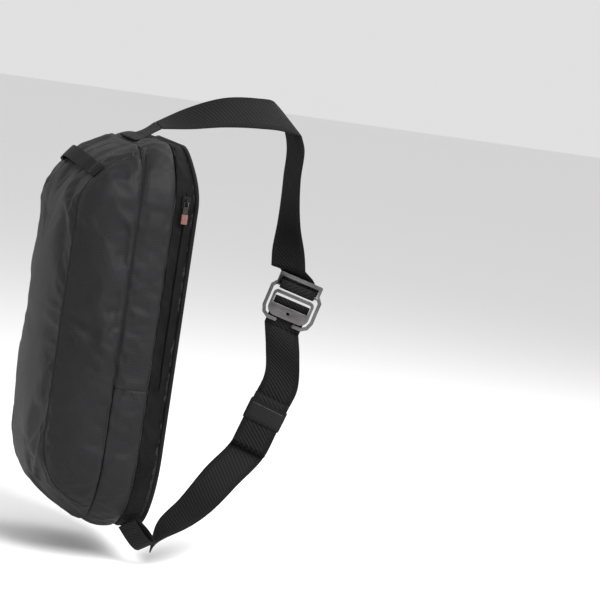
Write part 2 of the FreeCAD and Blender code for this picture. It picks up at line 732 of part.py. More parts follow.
keeper_centre = hanging(0, 131, 122)
keeper_along = Vector(0, 0.33, 1).normalize()
keeper_across = Vector(0.3, 0.905, -0.299).normalize()
keeper_across = (keeper_across - keeper_along * keeper_across.dot(keeper_along)).normalize()
keeper_facing = keeper_across.cross(keeper_along)
keeper_half = keeper_across * webbing_half


def on_strap(along, out=0.0):
    """A point on the straight stretch of strap that the keeper slides on."""
    return keeper_centre + keeper_along * along + keeper_facing * out


strap_start = tab_tip + Vector(0, 6.3, -1.3)
lower_run = [
    (in_buckle(0, bend_below, -4.5), half_across),
    (hanging(-2, 140, 188), Vector(10, 16, -2)),
    (on_strap(36), keeper_half),
    (on_strap(12), keeper_half),
    (on_strap(-12), keeper_half),
    (on_strap(-36), keeper_half),
    (hanging(14, 91, 55), Vector(8, 16, -6.5)),
    (hanging(33, 64, 26), Vector(12.5, 14, -3.5)),
    (hanging(58, 36, 6), Vector(13, 12, 1)),
    (tab_tip + Vector(-11, 14, 5), Vector(8, 5, 5)),
    (strap_start, Vector(5, 0, 6)),
]
shape_piece("lower_webbing", ribbon(lower_run, webbing_thick, 5))

tail_layers = 4
tail_thick = webbing_thick * tail_layers
tail_long = size("tail_long").number
tail_out = webbing_thick / 2 + tail_thick / 2 + gap.number * 3


def flat_block(low, high, out, half_wide, thick):
    """A block on the strap: from one height along it to another, at a distance off its face."""
    block = Part.makeBox(half_wide * 2, high - low, thick, Vector(-half_wide, low, out - thick / 2))
    block.Placement = FreeCAD.Placement(keeper_centre, Rotation(keeper_across, keeper_along,
                                                               keeper_facing, "ZXY"))
    return block


def strap_tail():
    """Free end of the strap, folded over on itself and lying flat on the strap."""
    middle = -size("tail_drop").number
    block = flat_block(middle - tail_long / 2, middle + tail_long / 2, 0, webbing_half, tail_thick)
    across_edges = []
    for edge in block.Edges:
        along_edge = (edge.Vertexes[1].Point - edge.Vertexes[0].Point).normalize()
        if abs(along_edge.dot(keeper_across)) > 0.9:
            across_edges.append(edge)
    rounded = block.makeFillet(tail_thick * 0.4, across_edges)
    rounded.translate(keeper_facing * tail_out)
    return rounded


shape_piece("strap_tail", strap_tail())


def keeper():
    """Elastic band round the strap and its folded tail."""
    high, thick, clear = size("keeper_high").number, size("keeper_thick").number, gap.number
    inner_thick = tail_out + tail_thick / 2 + webbing_thick / 2 + clear * 2
    middle = (tail_out + tail_thick / 2 - webbing_thick / 2) / 2
    inner_half = webbing_half + clear * 2
    outer_block = flat_block(-high / 2, high / 2, 0, inner_half + thick, inner_thick + thick * 2)
    inner_block = flat_block(-high, high, 0, inner_half, inner_thick)
    band = outer_block.cut(inner_block)
    band.translate(keeper_facing * middle)
    return band


shape_piece("keeper_band", keeper())

# ---------------------------------------------------------------- light loop on the front top
loop_depth = (depth - size("loop_from_front")).number
front_top = size("front_top_radius").number
slope = (loop_depth - (depth.number - front_top)) / front_top
loop_out = Vector(0, -slope, math.sqrt(1 - slope * slope))
loop_across = Vector(0, loop_out.z, slope) * (size("loop_wide").number / 2)
loop_base = Vector(0, -loop_depth, surface_height(loop_depth))
loop_half, loop_rise = size("loop_half").number, size("loop_rise").number
loop_lift = size("loop_thick").number / 2 + gap.number * 2
loop_half_shape = [(1, 0), (0.88, 0.02), (0.75, 0.12), (0.5, 0.6)]
loop_shape = [(-along, rise) for along, rise in loop_half_shape] + [(0, 1)] + loop_half_shape[::-1]
loop_stations = [(loop_base + Vector(loop_half * along, 0, 0) + loop_out * (loop_lift + loop_rise * rise),
                  loop_across) for along, rise in loop_shape]
shape_piece("light_loop", ribbon(loop_stations, size("loop_thick").number, 4))


# ---------------------------------------------------------------- zip sliders and pulls
bail_reach = 1.1
eye_bar = 1.4


def slider(label, side, at_depth, at_height):
    """Slider body on the bag's side wall, with the bail that its pull hangs from."""
    long, wide, thick = size("slider_long"), size("slider_wide"), size("slider_thick")
    start = half_width + size("slider_gap")
    low_x, high_x = (start, start + thick) if side > 0 else (-start - thick, -start)
    block = box(label + "_block", low_x, -at_depth - wide / 2, at_height - long / 2,
                high_x, -at_depth + wide / 2, at_height + long / 2)
    doc.recompute()
    body = doc.addObject("Part::Fillet", label + "_body")
    body.Base = block
    body.Edges = [(number + 1, 1.2, 1.2) for number, edge in enumerate(block.Shape.Edges)
                  if edge.BoundBox.XLength > 1]
    bail = doc.addObject("Part::Torus", label + "_bail")
    bind(bail, "Radius1", long / 4)
    bind(bail, "Radius2", 0.7)
    bail.Placement = FreeCAD.Placement(Vector(), Rotation(Vector(1, 0, 0), 90))
    bind(bail, "Placement.Base.x", high_x if side > 0 else low_x)
    bind(bail, "Placement.Base.y", -at_depth)
    bind(bail, "Placement.Base.z", at_height)
    both = doc.addObject("Part::Fuse", label + "_piece")
    both.Base, both.Tool = body, bail
    return place(both, label)


def pull(label, side, at_depth, at_height):
    """Flat pull that hooks the bail and hangs below it, with a fabric tab round its end."""
    long, wide, thick = size("pull_long"), size("pull_wide"), size("pull_thick")
    out = half_width + size("slider_gap") + size("slider_thick") + bail_reach - thick / 2
    low_x, high_x = (out, out + thick) if side > 0 else (-out - thick, -out)
    top_z = at_height + eye_bar / 2
    blade = box(label + "_blade", low_x, -at_depth - wide / 2, top_z - long,
                high_x, -at_depth + wide / 2, top_z)
    slot = box(label + "_eye", low_x - 1, -at_depth - 1.3, top_z - eye_bar * 3.6, high_x + 1, -at_depth + 1.3,
               top_z - eye_bar)
    piece = cut_from(label + "_piece", blade, slot)
    place(piece, label)
    tab_long = size("pull_tab_long")
    block_piece(label + "_tab", low_x - 0.8, -at_depth - wide / 2 - 0.6, top_z - long - tab_long,
                high_x + 0.8, -at_depth + wide / 2 + 0.6, top_z - long - seam_gap)


for label, side, at_depth, drop in (("rear_zip", 1, slit_depth, size("rear_slider_drop")),
                                    ("main_zip", -1, zip_plane, size("main_slider_drop"))):
    at_height = height - drop
    slider(label + "_slider", side, at_depth, at_height)
    pull(label + "_pull", side, at_depth, at_height)

# ---------------------------------------------------------------- check and write every piece
doc.recompute()
failed = [thing.Label for thing in doc.Objects if "Invalid" in thing.State or "Error" in thing.State]
if failed:
    raise RuntimeError("failed objects: " + ", ".join(failed))
for piece in finished:
    if piece.Shape.isNull() or not piece.Shape.isValid() or not piece.Shape.Solids:
        raise RuntimeError(f"{piece.Label} has no valid shape")

os.makedirs("parts", exist_ok=True)
for piece in finished:
    piece.Shape.exportStep(f"parts/{piece.Label}.step")
print(f"{len(finished)} pieces written")
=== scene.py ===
"""Crossbody sling bag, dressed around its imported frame: shells, webbing, buckle, zips and padding."""
import math

import bmesh
import bpy
from mathutils import Matrix, Vector
from mathutils.bvhtree import BVHTree


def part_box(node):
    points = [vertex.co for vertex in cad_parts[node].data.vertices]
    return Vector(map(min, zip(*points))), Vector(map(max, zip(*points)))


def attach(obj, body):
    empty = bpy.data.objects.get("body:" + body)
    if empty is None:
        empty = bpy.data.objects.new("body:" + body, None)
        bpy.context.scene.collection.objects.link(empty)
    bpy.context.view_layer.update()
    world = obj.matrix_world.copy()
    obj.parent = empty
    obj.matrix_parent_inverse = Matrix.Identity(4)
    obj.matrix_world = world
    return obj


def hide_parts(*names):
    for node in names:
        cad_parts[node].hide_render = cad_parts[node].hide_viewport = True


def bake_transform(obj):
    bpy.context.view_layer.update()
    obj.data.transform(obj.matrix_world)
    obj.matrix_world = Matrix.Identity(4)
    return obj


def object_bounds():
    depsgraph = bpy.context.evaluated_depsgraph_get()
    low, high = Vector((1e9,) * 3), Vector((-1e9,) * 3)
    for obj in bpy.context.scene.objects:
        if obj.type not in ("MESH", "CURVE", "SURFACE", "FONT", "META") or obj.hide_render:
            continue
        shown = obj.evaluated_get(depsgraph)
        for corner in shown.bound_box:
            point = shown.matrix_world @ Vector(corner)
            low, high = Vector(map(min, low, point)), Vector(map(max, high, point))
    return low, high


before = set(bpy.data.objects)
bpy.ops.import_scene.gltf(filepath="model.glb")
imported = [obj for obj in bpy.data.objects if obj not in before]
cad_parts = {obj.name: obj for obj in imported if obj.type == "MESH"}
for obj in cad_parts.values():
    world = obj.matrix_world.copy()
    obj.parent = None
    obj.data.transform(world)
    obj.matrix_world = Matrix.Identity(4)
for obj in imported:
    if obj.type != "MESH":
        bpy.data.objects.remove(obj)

cad_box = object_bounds()

# ---- The studio: a pale floor, a bright room, two soft boxes and a camera.
# The bag hangs from its strap, just clear of the floor, seen from its right side and a little
# from the front. It leans in the picture because the strap pulls it off the vertical.
MM = 0.001
back_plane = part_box("rear_band")[1].y + 1 * MM
bag_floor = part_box("rear_band")[0].z


def at(x, y, z):
    """A place in millimetres from the bag's middle, back plane and bottom, as a frame position."""
    return Vector((x * MM, back_plane + y * MM, bag_floor + z * MM))


floor_mesh = bmesh.new()
bmesh.ops.create_grid(floor_mesh, x_segments=1, y_segments=1, size=12)
bmesh.ops.translate(floor_mesh, verts=floor_mesh.verts, vec=(0, 0, cad_box[0][2] - 14 * MM))
floor_data = bpy.data.meshes.new("floor")
floor_mesh.to_mesh(floor_data)
floor = bpy.data.objects.new("floor", floor_data)
bpy.context.scene.collection.objects.link(floor)
paper = bpy.data.materials.new("pale_floor")
paper.use_nodes = True
paper.node_tree.nodes["Principled BSDF"].inputs["Base Color"].default_value = (0.86, 0.86, 0.86, 1)
paper.node_tree.nodes["Principled BSDF"].inputs["Roughness"].default_value = 1.0
floor_data.materials.append(paper)

room = bpy.data.worlds.new("bright_room")
room.use_nodes = True
room.node_tree.nodes["Background"].inputs["Color"].default_value = (1, 1, 1, 1)
room.node_tree.nodes["Background"].inputs["Strength"].default_value = 0.75
bpy.context.scene.world = room
bpy.context.scene.view_settings.view_transform = "Standard"

turned, raised, lean = math.radians(75.2), math.radians(5.5), math.radians(8.6)
towards_camera = Vector((math.sin(turned) * math.cos(raised), -math.cos(turned) * math.cos(raised),
                         math.sin(raised)))
level_right = Vector((math.cos(turned), math.sin(turned), 0))
level_up = towards_camera.cross(level_right)
picture_right = level_right * math.cos(lean) + level_up * math.sin(lean)
picture_up = level_up * math.cos(lean) - level_right * math.sin(lean)
camera_distance = 3.2
picture_width = 0.617
aim = at(0, 149.5, 244.2)


def facing_matrix(right, up, out, place):
    """The matrix that turns a camera or a lamp: its own Z points away from what it looks at."""
    matrix = Matrix((right, up, out)).transposed().to_4x4()
    matrix.translation = place
    return matrix


camera_data = bpy.data.cameras.new("camera")
camera_data.sensor_width = 36
camera_data.lens = 36 * camera_distance / picture_width
camera = bpy.data.objects.new("camera", camera_data)
camera.matrix_world = facing_matrix(picture_right, picture_up, towards_camera,
                                    aim + towards_camera * camera_distance)
bpy.context.scene.collection.objects.link(camera)
bpy.context.scene.camera = camera


def soft_box(name, direction, distance, size, power):
    """A square area lamp that looks at the bag."""
    lamp_data = bpy.data.lights.new(name, "AREA")
    lamp_data.size = size
    lamp_data.energy = power
    lamp = bpy.data.objects.new(name, lamp_data)
    out = Vector(direction).normalized()
    side = Vector((0, 0, 1)).cross(out).normalized()
    lamp.matrix_world = facing_matrix(side, out.cross(side), out, aim + out * distance)
    bpy.context.scene.collection.objects.link(lamp)


soft_box("key_box", (0.8, 0.15, 0.75), 1.7, 1.0, 46)
soft_box("front_box", (0.25, -1.0, 0.45), 1.9, 1.0, 2.5)
soft_box("rim_box", (-0.5, 0.9, 0.9), 1.9, 1.2, 20)


# ---- The front shell: coated ripstop nylon sewn from two side panels and one front panel.
# The front panel wraps over the top and under the bottom; plain seams join it to the sides. The
# shell's edge is turned in along the zip, and the cloth is a little too long, so it puckers.
half_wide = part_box("body_gusset")[1].x / MM
tall = (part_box("rear_band")[1].z - bag_floor) / MM
deep = (back_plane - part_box("lower_front_panel")[0].y) / MM
top_corner, bottom_corner = 60, 85
zip_depth = 55
front_roll_side, front_roll_top, front_roll_bottom = 50, 90, 80
front_seam_x = 95
zip_end_z = 150
quarter = math.pi / 2
stretches = [(half_wide - bottom_corner, 0), (bottom_corner * quarter, bottom_corner),
             (tall - bottom_corner - top_corner, 0), (top_corner * quarter, top_corner),
             (2 * (half_wide - top_corner), 0), (top_corner * quarter, top_corner),
             (tall - bottom_corner - top_corner, 0), (bottom_corner * quarter, bottom_corner),
             (half_wide - bottom_corner, 0)]
girth = sum(length for length, corner in stretches)


def outline(turn):
    """Point (x, z) and outward normal on the bag's face outline, once round from the low middle."""
    left, x, z, heading = (turn % 1.0) * girth, 0.0, 0.0, 0.0
    for length, corner in stretches:
        step = min(left, length)
        if corner:
            end = heading + step / corner
            x += corner * (math.sin(end) - math.sin(heading))
            z += corner * (math.cos(heading) - math.cos(end))
            heading = end
        else:
            x += step * math.cos(heading)
            z += step * math.sin(heading)
        left -= step
        if left <= 0:
            break
    return x, z, math.sin(heading), -math.cos(heading)


def inward(turn, inset):
    """The outline moved in towards the bag's spine, so that large insets never cross over."""
    x, z, nx, nz = outline(turn)
    spine_z = min(max(z, half_wide), tall - half_wide)
    share = inset / half_wide
    return x * (1 - share), z + (spine_z - z) * share


def ease(low, high, value):
    share = min(max((value - low) / (high - low), 0), 1)
    return share * share * (3 - 2 * share)


def cloth_sheet(name, along, across, place, long, wide, closed=True):
    """A grid of cloth put in place by place(u, v), with its UV map in metres of cloth."""
    bm = bmesh.new()
    uv = bm.loops.layers.uv.new("UVMap")
    bmesh.ops.create_grid(bm, x_segments=along, y_segments=across, size=0.5, calc_uvs=True)
    for vert in bm.verts:
        vert.co = place(vert.co.x + 0.5, vert.co.y + 0.5)
    for face in bm.faces:
        for loop in face.loops:
            loop[uv].uv = (loop[uv].uv.x * long * MM, loop[uv].uv.y * wide * MM)
    if closed:
        bmesh.ops.remove_doubles(bm, verts=bm.verts, dist=0.01 * MM)
    bmesh.ops.recalc_face_normals(bm, faces=bm.faces)
    return bm


def face_away(bm, centre):
    """Turn the whole sheet round if most of it faces the centre."""
    score = sum(face.normal.dot(face.calc_center_median() - centre) * face.calc_area() for face in bm.faces)
    if score < 0:
        bmesh.ops.reverse_faces(bm, faces=bm.faces)
    bm.normal_update()


def finish_piece(bm, name, material):
    """Make the bmesh an object with one material and smooth faces."""
    data = bpy.data.meshes.new(name)
    bm.to_mesh(data)
    bm.free()
    piece = bpy.data.objects.new(name, data)
    bpy.context.scene.collection.objects.link(piece)
    data.materials.append(material)
    data.polygons.foreach_set("use_smooth", [True] * len(data.polygons))
    return piece


def smooth_over(piece, curved=True):
    """Shade a piece smooth again after cutting it, and round its cloth with one subdivision."""
    piece.data.polygons.foreach_set("use_smooth", [True] * len(piece.data.polygons))
    if curved:
        smoother = piece.modifiers.new("smooth", "SUBSURF")
        smoother.levels = smoother.render_levels = 1


def settle(piece, held, extra, pressure, cap_out, cap_in):
    """Let the cloth find its own wrinkles, held along its seams and never far from its pattern."""
    before = [vert.co.copy() for vert in piece.data.vertices]
    normals = [vert.normal.copy() for vert in piece.data.vertices]
    seams = piece.vertex_groups.new(name="seams")
    seams.add([vert.index for vert in piece.data.vertices if held(vert.co)], 1.0, "REPLACE")
    cloth = piece.modifiers.new("cloth", "CLOTH")
    settings = cloth.settings
    settings.vertex_group_mass = "seams"
    settings.quality = 5
    settings.mass = 0.15
    settings.tension_stiffness = settings.compression_stiffness = 18
    settings.shear_stiffness = 6
    settings.bending_stiffness = 0.35
    settings.shrink_min = settings.shrink_max = -extra
    settings.use_pressure = True
    settings.uniform_pressure_force = pressure
    settings.effector_weights.gravity = 0
    cloth.point_cache.frame_start, cloth.point_cache.frame_end = 1, 20
    for number in range(1, 21):
        bpy.context.scene.frame_set(number)
    shaped = piece.evaluated_get(bpy.context.evaluated_depsgraph_get()).data
    after = [vert.co.copy() for vert in shaped.vertices]
    piece.modifiers.remove(cloth)
    piece.vertex_groups.remove(seams)
    for vert, old, new, normal in zip(piece.data.vertices, before, after, normals):
        move = new - old
        cap = cap_out if move.dot(normal) > 0 else cap_in
        length = move.length
        if length > 0:
            move *= cap * math.tanh(length / cap) / length
        vert.co = old + move
    bpy.context.scene.frame_set(1)


def crease(piece, folds):
    """Press soft folds into a piece: each is (start, end, depth, width) in millimetres."""
    lines = [(at(*start), at(*end), depth * MM, width * MM) for start, end, depth, width in folds]
    moves = []
    for vert in piece.data.vertices:
        move = 0.0
        for start, end, depth, width in lines:
            run = end - start
            share = min(max((vert.co - start).dot(run) / run.length_squared, 0), 1)
            away = (vert.co - start - run * share).length / width
            if away < 3:
                taper = math.sin(math.pi * (0.12 + 0.8 * share))
                move -= depth * taper * (math.exp(-away * away) - 0.45 * math.exp(-(away - 1.7) ** 2 * 1.6))
        moves.append(move)
    for vert, normal, move in zip(piece.data.vertices, [v.normal.copy() for v in piece.data.vertices], moves):
        vert.co += normal * move


def new_finish(name, colour, roughness, metal=0.0, gloss=0.5):
    """A principled finish; returns its material, node tree, shader and an adder of nodes."""
    material = bpy.data.materials.new(name)
    material.use_nodes = True
    tree = material.node_tree
    shader = tree.nodes["Principled BSDF"]
    shader.inputs["Base Color"].default_value = (*colour, 1)
    shader.inputs["Roughness"].default_value = roughness
    shader.inputs["Metallic"].default_value = metal
    shader.inputs["Specular IOR Level"].default_value = gloss

    def add(kind, links=(), **values):
        node = tree.nodes.new(kind)
        for key, value in values.items():
            if hasattr(node, key):
                setattr(node, key, value)
            else:
                node.inputs[key].default_value = value
        for socket, source in links:
            tree.links.new(source, node.inputs[socket])
        return node

    return material, tree, shader, add


def set_input(node, name, value):
    node.inputs[name].default_value = value
    return node


def scaled_cloth(add, pitch_along, pitch_across, turn=0.0):
    """The piece's UV map, counted in threads instead of metres."""
    coordinates = add("ShaderNodeTexCoord")
    mapping = add("ShaderNodeMapping", [("Vector", coordinates.outputs["UV"])])
    mapping.inputs["Rotation"].default_value = (0, 0, turn)
    mapping.inputs["Scale"].default_value = (1 / (pitch_along * MM), 1 / (pitch_across * MM), 1)
    return mapping.outputs["Vector"]


def tone(add, source, low, high, start=0.3, end=0.7):
    """A colour ramp between two colours."""
    ramp = add("ShaderNodeValToRGB", [("Fac", source)])
    ramp.color_ramp.elements[0].position = start
    ramp.color_ramp.elements[1].position = end
    ramp.color_ramp.elements[0].color = (*low, 1)
    ramp.color_ramp.elements[1].color = (*high, 1)
    return ramp.outputs["Color"]


def threads_pattern(add, vector, mortar, soft, row_high, offset=0.5):
    """Crossing threads, one cell to a unit of the vector; returns how much of a gap a point is."""
    node = add("ShaderNodeTexBrick", [("Vector", vector)], offset=offset)
    for name, value in (("Scale", 1.0), ("Mortar Size", mortar), ("Mortar Smooth", soft),
                        ("Brick Width", 1.0), ("Row Height", row_high)):
        node.inputs[name].default_value = value
    return node.outputs["Fac"]


def relief(add, height, strength, distance, below=None, invert=False):
    """Raise the surface by a pattern, on top of the relief below it; returns the normal."""
    links = [("Height", height)] + ([("Normal", below)] if below else [])
    node = add("ShaderNodeBump", links, Strength=strength, Distance=distance)
    node.invert = invert
    return node.outputs["Normal"]


def grain(add, scale, detail):
    """Cloudy variation fixed to the object."""
    where = add("ShaderNodeTexCoord")
    noise = add("ShaderNodeTexNoise", [("Vector", where.outputs["Object"])], Scale=scale, Detail=detail)
    return noise.outputs["Fac"]


def coated_ripstop():
    """Charcoal nylon with a fine square rip-stop grid under a satin coating."""
    material, tree, shader, add = new_finish("coated_ripstop", (0.009, 0.009, 0.0095), 0.55, gloss=0.17)
    grid = threads_pattern(add, scaled_cloth(add, 2.6, 2.6), 0.09, 0.6, 1.0, offset=0.0)
    threads = threads_pattern(add, scaled_cloth(add, 0.52, 0.52), 0.16, 1.0, 0.5)
    patches = grain(add, 26.0, 5.0)
    lines = add("ShaderNodeMix", [("Factor", grid)], data_type="RGBA")
    body_colour, line_colour = lines.inputs[6], lines.inputs[7]
    tree.links.new(tone(add, patches, (0.0064, 0.0061, 0.0068), (0.0096, 0.0092, 0.0101)), body_colour)
    line_colour.default_value = (0.014, 0.0136, 0.0147, 1)
    tree.links.new(lines.outputs[2], shader.inputs["Base Color"])
    worn = add("ShaderNodeMapRange", [("Value", patches)])
    set_input(worn, "To Min", 0.50)
    set_input(worn, "To Max", 0.60)
    tree.links.new(worn.outputs["Result"], shader.inputs["Roughness"])
    ribs = relief(add, grid, 0.35, 0.00025)
    fine = relief(add, threads, 0.25, 0.00012, ribs)
    tree.links.new(relief(add, grain(add, 60.0, 3.0), 0.25, 0.0012, fine), shader.inputs["Normal"])
    return material


ripstop = coated_ripstop()
shell_round, hem_rows, wall_rows, face_rows = 288, 4, 40, 22
shell_rows = hem_rows + wall_rows + face_rows
shell_edge = zip_depth + 0.05
zip_gap = 0.1


def roll_radius(nz):
    """The front's rounding: tight at the sides, generous over the top and under the bottom."""
    end = front_roll_top if nz > 0 else front_roll_bottom
    return front_roll_side + (end - front_roll_side) * nz * nz


def shell_profile(turn, share):
    """Inset and depth along the shell's cross-section, from the zip (0) to the flat front (1)."""
    nz = outline(turn)[3]
    radius = roll_radius(nz)
    room = deep - shell_edge
    wall = max(0.0, room - radius)
    first = math.asin(max(0.0, min(1.0, (radius - room) / radius)))
    arc = radius * (quarter - first)
    run = share * (wall + arc)
    if run < wall:
        return 0.0, shell_edge + run
    angle = first + (run - wall) / radius
    return radius * (1 - math.cos(angle)), deep - radius * (1 - math.sin(angle))


def shell_point(u, v):
    row = round(v * (shell_rows - 1 + 1e-9))
    x, z, nx, nz = outline(u)
    parted = zip_gap * ease(zip_end_z - 2, zip_end_z + 4, z)
    if row < hem_rows:
        start_inset, start_depth = shell_profile(u, 0)
        tuck = ((5.5, 1.4), (2.6, 0.3), (0.9, 0.0), (0.25, 0.5))[row]
        px, pz = inward(u, start_inset + tuck[0])
        return at(px, -(start_depth + parted + tuck[1]), pz)
    share = (row - hem_rows + 1) / wall_rows
    if share <= 1:
        inset, depth = shell_profile(u, share)
        lip = ease(zip_end_z - 6, zip_end_z + 8, z) * math.exp(-((depth - shell_edge - 4.5) / 3.6) ** 2)
        crown = math.sin(math.pi * share) * (1.5 + 1.5 * (1 - nz * nz))
        px, pz = inward(u, inset - 1.6 * lip - crown)
        return at(px, -depth - parted * (1 - share) - 0.6 * crown, pz)
    inset, depth = shell_profile(u, 1)
    inner = (row - hem_rows + 1 - wall_rows) / face_rows
    inset += (half_wide - inset) * inner
    px, pz = inward(u, inset)
    return at(px, -depth - 4.0 * math.sin(quarter * inner), pz)


shell_mesh = cloth_sheet("front_shell", shell_round, shell_rows - 1, shell_point, girth, 190)
face_away(shell_mesh, at(0, -60, tall / 2))
front_shell = finish_piece(shell_mesh, "front_shell", ripstop)


def on_shell_seam(co):
    depth = (back_plane - co.y) / MM
    on_front_seam = depth > 70 and abs(abs(co.x) / MM - front_seam_x) < 2.4
    return depth < shell_edge + 1.8 or on_front_seam


settle(front_shell, on_shell_seam, 0.035, 3.0, 5 * MM, 2.2 * MM)
folds = [((99, -109, 211), (119, -84, 197), 3.6, 5.5), ((119, -86, 198), (121, -60, 186), 2.6, 4.5),
         ((118, -88, 190), (120, -64, 172), 2.0, 5.0), ((100, -107, 196), (112, -98, 182), 1.8, 5.0),
         ((84, -102, 342), (104, -84, 322), 1.4, 6.0), ((92, -106, 318), (101, -104, 286), 1.2, 6.0),
         ((112, -96, 60), (102, -104, 30), 1.3, 7.0), ((116, -60, 352), (106, -84, 350), 1.0, 5.0)]
for number, z in enumerate((330, 306, 283, 262, 243, 226, 210, 196, 174)):
    reach = (13, 20, 15, 24, 18, 26, 20, 15, 22)[number]
    folds.append(((121, -57, z), (120, -57 - reach, z - 5 - number), 1.15 + 0.12 * number, 3.6))
for number, z in enumerate((128, 106, 84, 60)):
    folds.append(((120, -57, z), (119, -72 - 3 * number, z + 8), 0.8, 4.0))
folds += [((-start[0], start[1], start[2] + 7), (-end[0], end[1], end[2] + 3), depth * 0.85, width * 1.1)
          for start, end, depth, width in folds]
folds += [((-60, -117, 205), (20, -119, 188), 0.7, 9.0), ((70, -117, 214), (-8, -119, 176), 0.6, 10.0),
          ((52, -104, 352), (70, -112, 318), 1.2, 7.0), ((-52, -104, 352), (-70, -112, 318), 1.2, 7.0)]
crease(front_shell, folds)


def press_seams(piece, planes, keep, depth, half):
    """Cut edges along each plane and press them in, so that a seam reads as a sharp groove."""
    bm = bmesh.new()
    bm.from_mesh(piece.data)
    for place, normal in planes:
        for offset in (-half, 0, half):
            bmesh.ops.bisect_plane(bm, geom=bm.verts[:] + bm.edges[:] + bm.faces[:], dist=1e-6,
                                   plane_co=place + normal * offset * MM, plane_no=normal)
        bm.normal_update()
        for vert in bm.verts:
            if abs((vert.co - place).dot(normal)) < 0.02 * MM:
                vert.co -= vert.normal * depth * MM * keep(vert.co)
    bm.to_mesh(piece.data)
    bm.free()


def front_only(co):
    return ease(58, 66, (back_plane - co.y) / MM)


across_x = Vector((1, 0, 0))
press_seams(front_shell, [(at(side * front_seam_x, 0, 0), across_x) for side in (-1, 1)], front_only,
            1.9, 1.3)
front_lining = front_shell.copy()
front_lining.data = front_shell.data.copy()
front_lining.name = "front_lining"
bpy.context.scene.collection.objects.link(front_lining)
smooth_over(front_shell)
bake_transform(front_shell)
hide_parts("upper_front_panel", "upper_side_panel_left", "upper_side_panel_right", "zip_cover",
            "lower_front_panel", "lower_side_panel_left", "lower_side_panel_right", "front_fold")


# ---- The linings: thin smooth polyester, cut to the same pattern as the shells.
# They hang just inside the shells and are caught in the same seams.
def lining_cloth(name, colour):
    material, tree, shader, add = new_finish(name, colour, 0.62, gloss=0.25)
    low, high = [tuple(part * share for part in colour) for share in (0.8, 1.2)]
    tree.links.new(tone(add, grain(add, 20.0, 4.0), low, high), shader.inputs["Base Color"])
    threads = threads_pattern(add, scaled_cloth(add, 0.6, 0.6), 0.14, 0.1, 0.5)
    tree.links.new(relief(add, threads, 0.3, 0.0002), shader.inputs["Normal"])
    return material


lining = lining_cloth("grey_lining", (0.10, 0.103, 0.106))


def shrink_inside(piece, amount, hem):
    """Move a copied shell inside its shell, clear of the zip, and turn it to face the contents."""
    bm = bmesh.new()
    bm.from_mesh(piece.data)
    bm.normal_update()
    for vert in bm.verts:
        vert.co -= vert.normal * amount * MM
    near_zip = [vert for vert in bm.verts if (back_plane - vert.co.y) / MM < hem]
    bmesh.ops.delete(bm, geom=near_zip, context="VERTS")
    bmesh.ops.reverse_faces(bm, faces=bm.faces)
    bm.to_mesh(piece.data)
    bm.free()
    piece.data.materials.clear()
    piece.data.materials.append(lining)
    smooth_over(piece, curved=False)


shrink_inside(front_lining, 1.1, zip_depth + 6)
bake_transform(front_lining)
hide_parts("flap_lining", "lower_lining")


# ---- The gusset: one long strip of the same ripstop round the bag, between zip and rear band.
# A short double-stitched seam crosses it where the zip ends; both long edges are turned in.
soft_corner, soft_corner_high = 10, 62


def nod(depth, z):
    """The back's top corner is soft: its layers lean forward there, and the rearmost lean most."""
    lean_by = soft_corner * ease(tall - soft_corner_high, tall + 6, z) ** 1.5
    return depth + lean_by * min(1.0, max(0.0, 1 - depth / 30))


def before_nod(depth, z):
    lean_by = soft_corner * ease(tall - soft_corner_high, tall + 6, z) ** 1.5
    return depth if depth > 30 else (depth - lean_by) / (1 - lean_by / 30)


def strip_point(zip_edge, depth_end, rows, crown, inset_at, hem, parted=0.0):
    """A band round the bag: hems turned in at both edges and crowned cloth between them."""
    def place(u, v):
        row = round(v * rows)
        x, z, nx, nz = outline(u)
        depth_start = zip_edge - parted * ease(zip_end_z - 2, zip_end_z + 4, z)
        tucks = ((5.0, 1.2), (2.2, 0.2), (0.8, 0.0))
        near_end = rows - row
        if row < 3 or near_end < 3:
            tuck_inset, tuck_step = tucks[min(row, near_end)]
            depth = depth_start - tuck_step * hem if row < 3 else depth_end + tuck_step * hem
            px, pz = inward(u, inset_at(depth, nz) + tuck_inset)
            return at(px, -nod(depth, pz), pz)
        share = (row - 3) / (rows - 6)
        depth = depth_start + (depth_end - depth_start) * (0.015 + 0.97 * share)
        swell = crown * math.sin(math.pi * share) ** 0.6
        px, pz = inward(u, inset_at(depth, nz) - swell)
        return at(px, -nod(depth, pz), pz)
    return place


def front_lean(depth, nz):
    """How far the top and bottom already fall away at this depth, from the front's rounding."""
    radius = front_roll_top if nz > 0 else front_roll_bottom
    past = max(0.0, depth - (deep - radius))
    return (radius - math.sqrt(radius * radius - past * past)) * nz * nz


gusset_mesh = cloth_sheet("gusset", shell_round, 18,
                          strip_point(54.95, 21.4, 18, 1.8, front_lean, 1.0, 0.15), girth, 50)
face_away(gusset_mesh, at(0, -37, tall / 2))
gusset = finish_piece(gusset_mesh, "gusset", ripstop)


def on_strip_edge(low, high):
    def held(co):
        depth = before_nod((back_plane - co.y) / MM, (co.z - bag_floor) / MM)
        return depth < low or depth > high
    return held


settle(gusset, on_strip_edge(22.4, 52.6), 0.03, 1.5, 3 * MM, 1.6 * MM)
gusset_drift = ((340, 4), (300, 12), (262, -6), (230, 6), (205, 0), (178, 10), (120, -4), (84, 9))
crease(gusset, [((side * 121, -51, z), (side * 121, -30, z - 9 + drift), 0.9, 4.0)
                for side in (1, -1) for z, drift in gusset_drift])
zip_seam_z = zip_end_z - 3


def zip_end_line(co):
    return ease(front_seam_x - 8, front_seam_x + 2, abs(co.x) / MM)


up_z = Vector((0, 0, 1))
press_seams(gusset, [(at(0, 0, zip_seam_z), up_z)], zip_end_line, 1.0, 0.8)
smooth_over(gusset)
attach(gusset, "bag")
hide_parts("body_gusset", "zip_end_left", "zip_end_right")


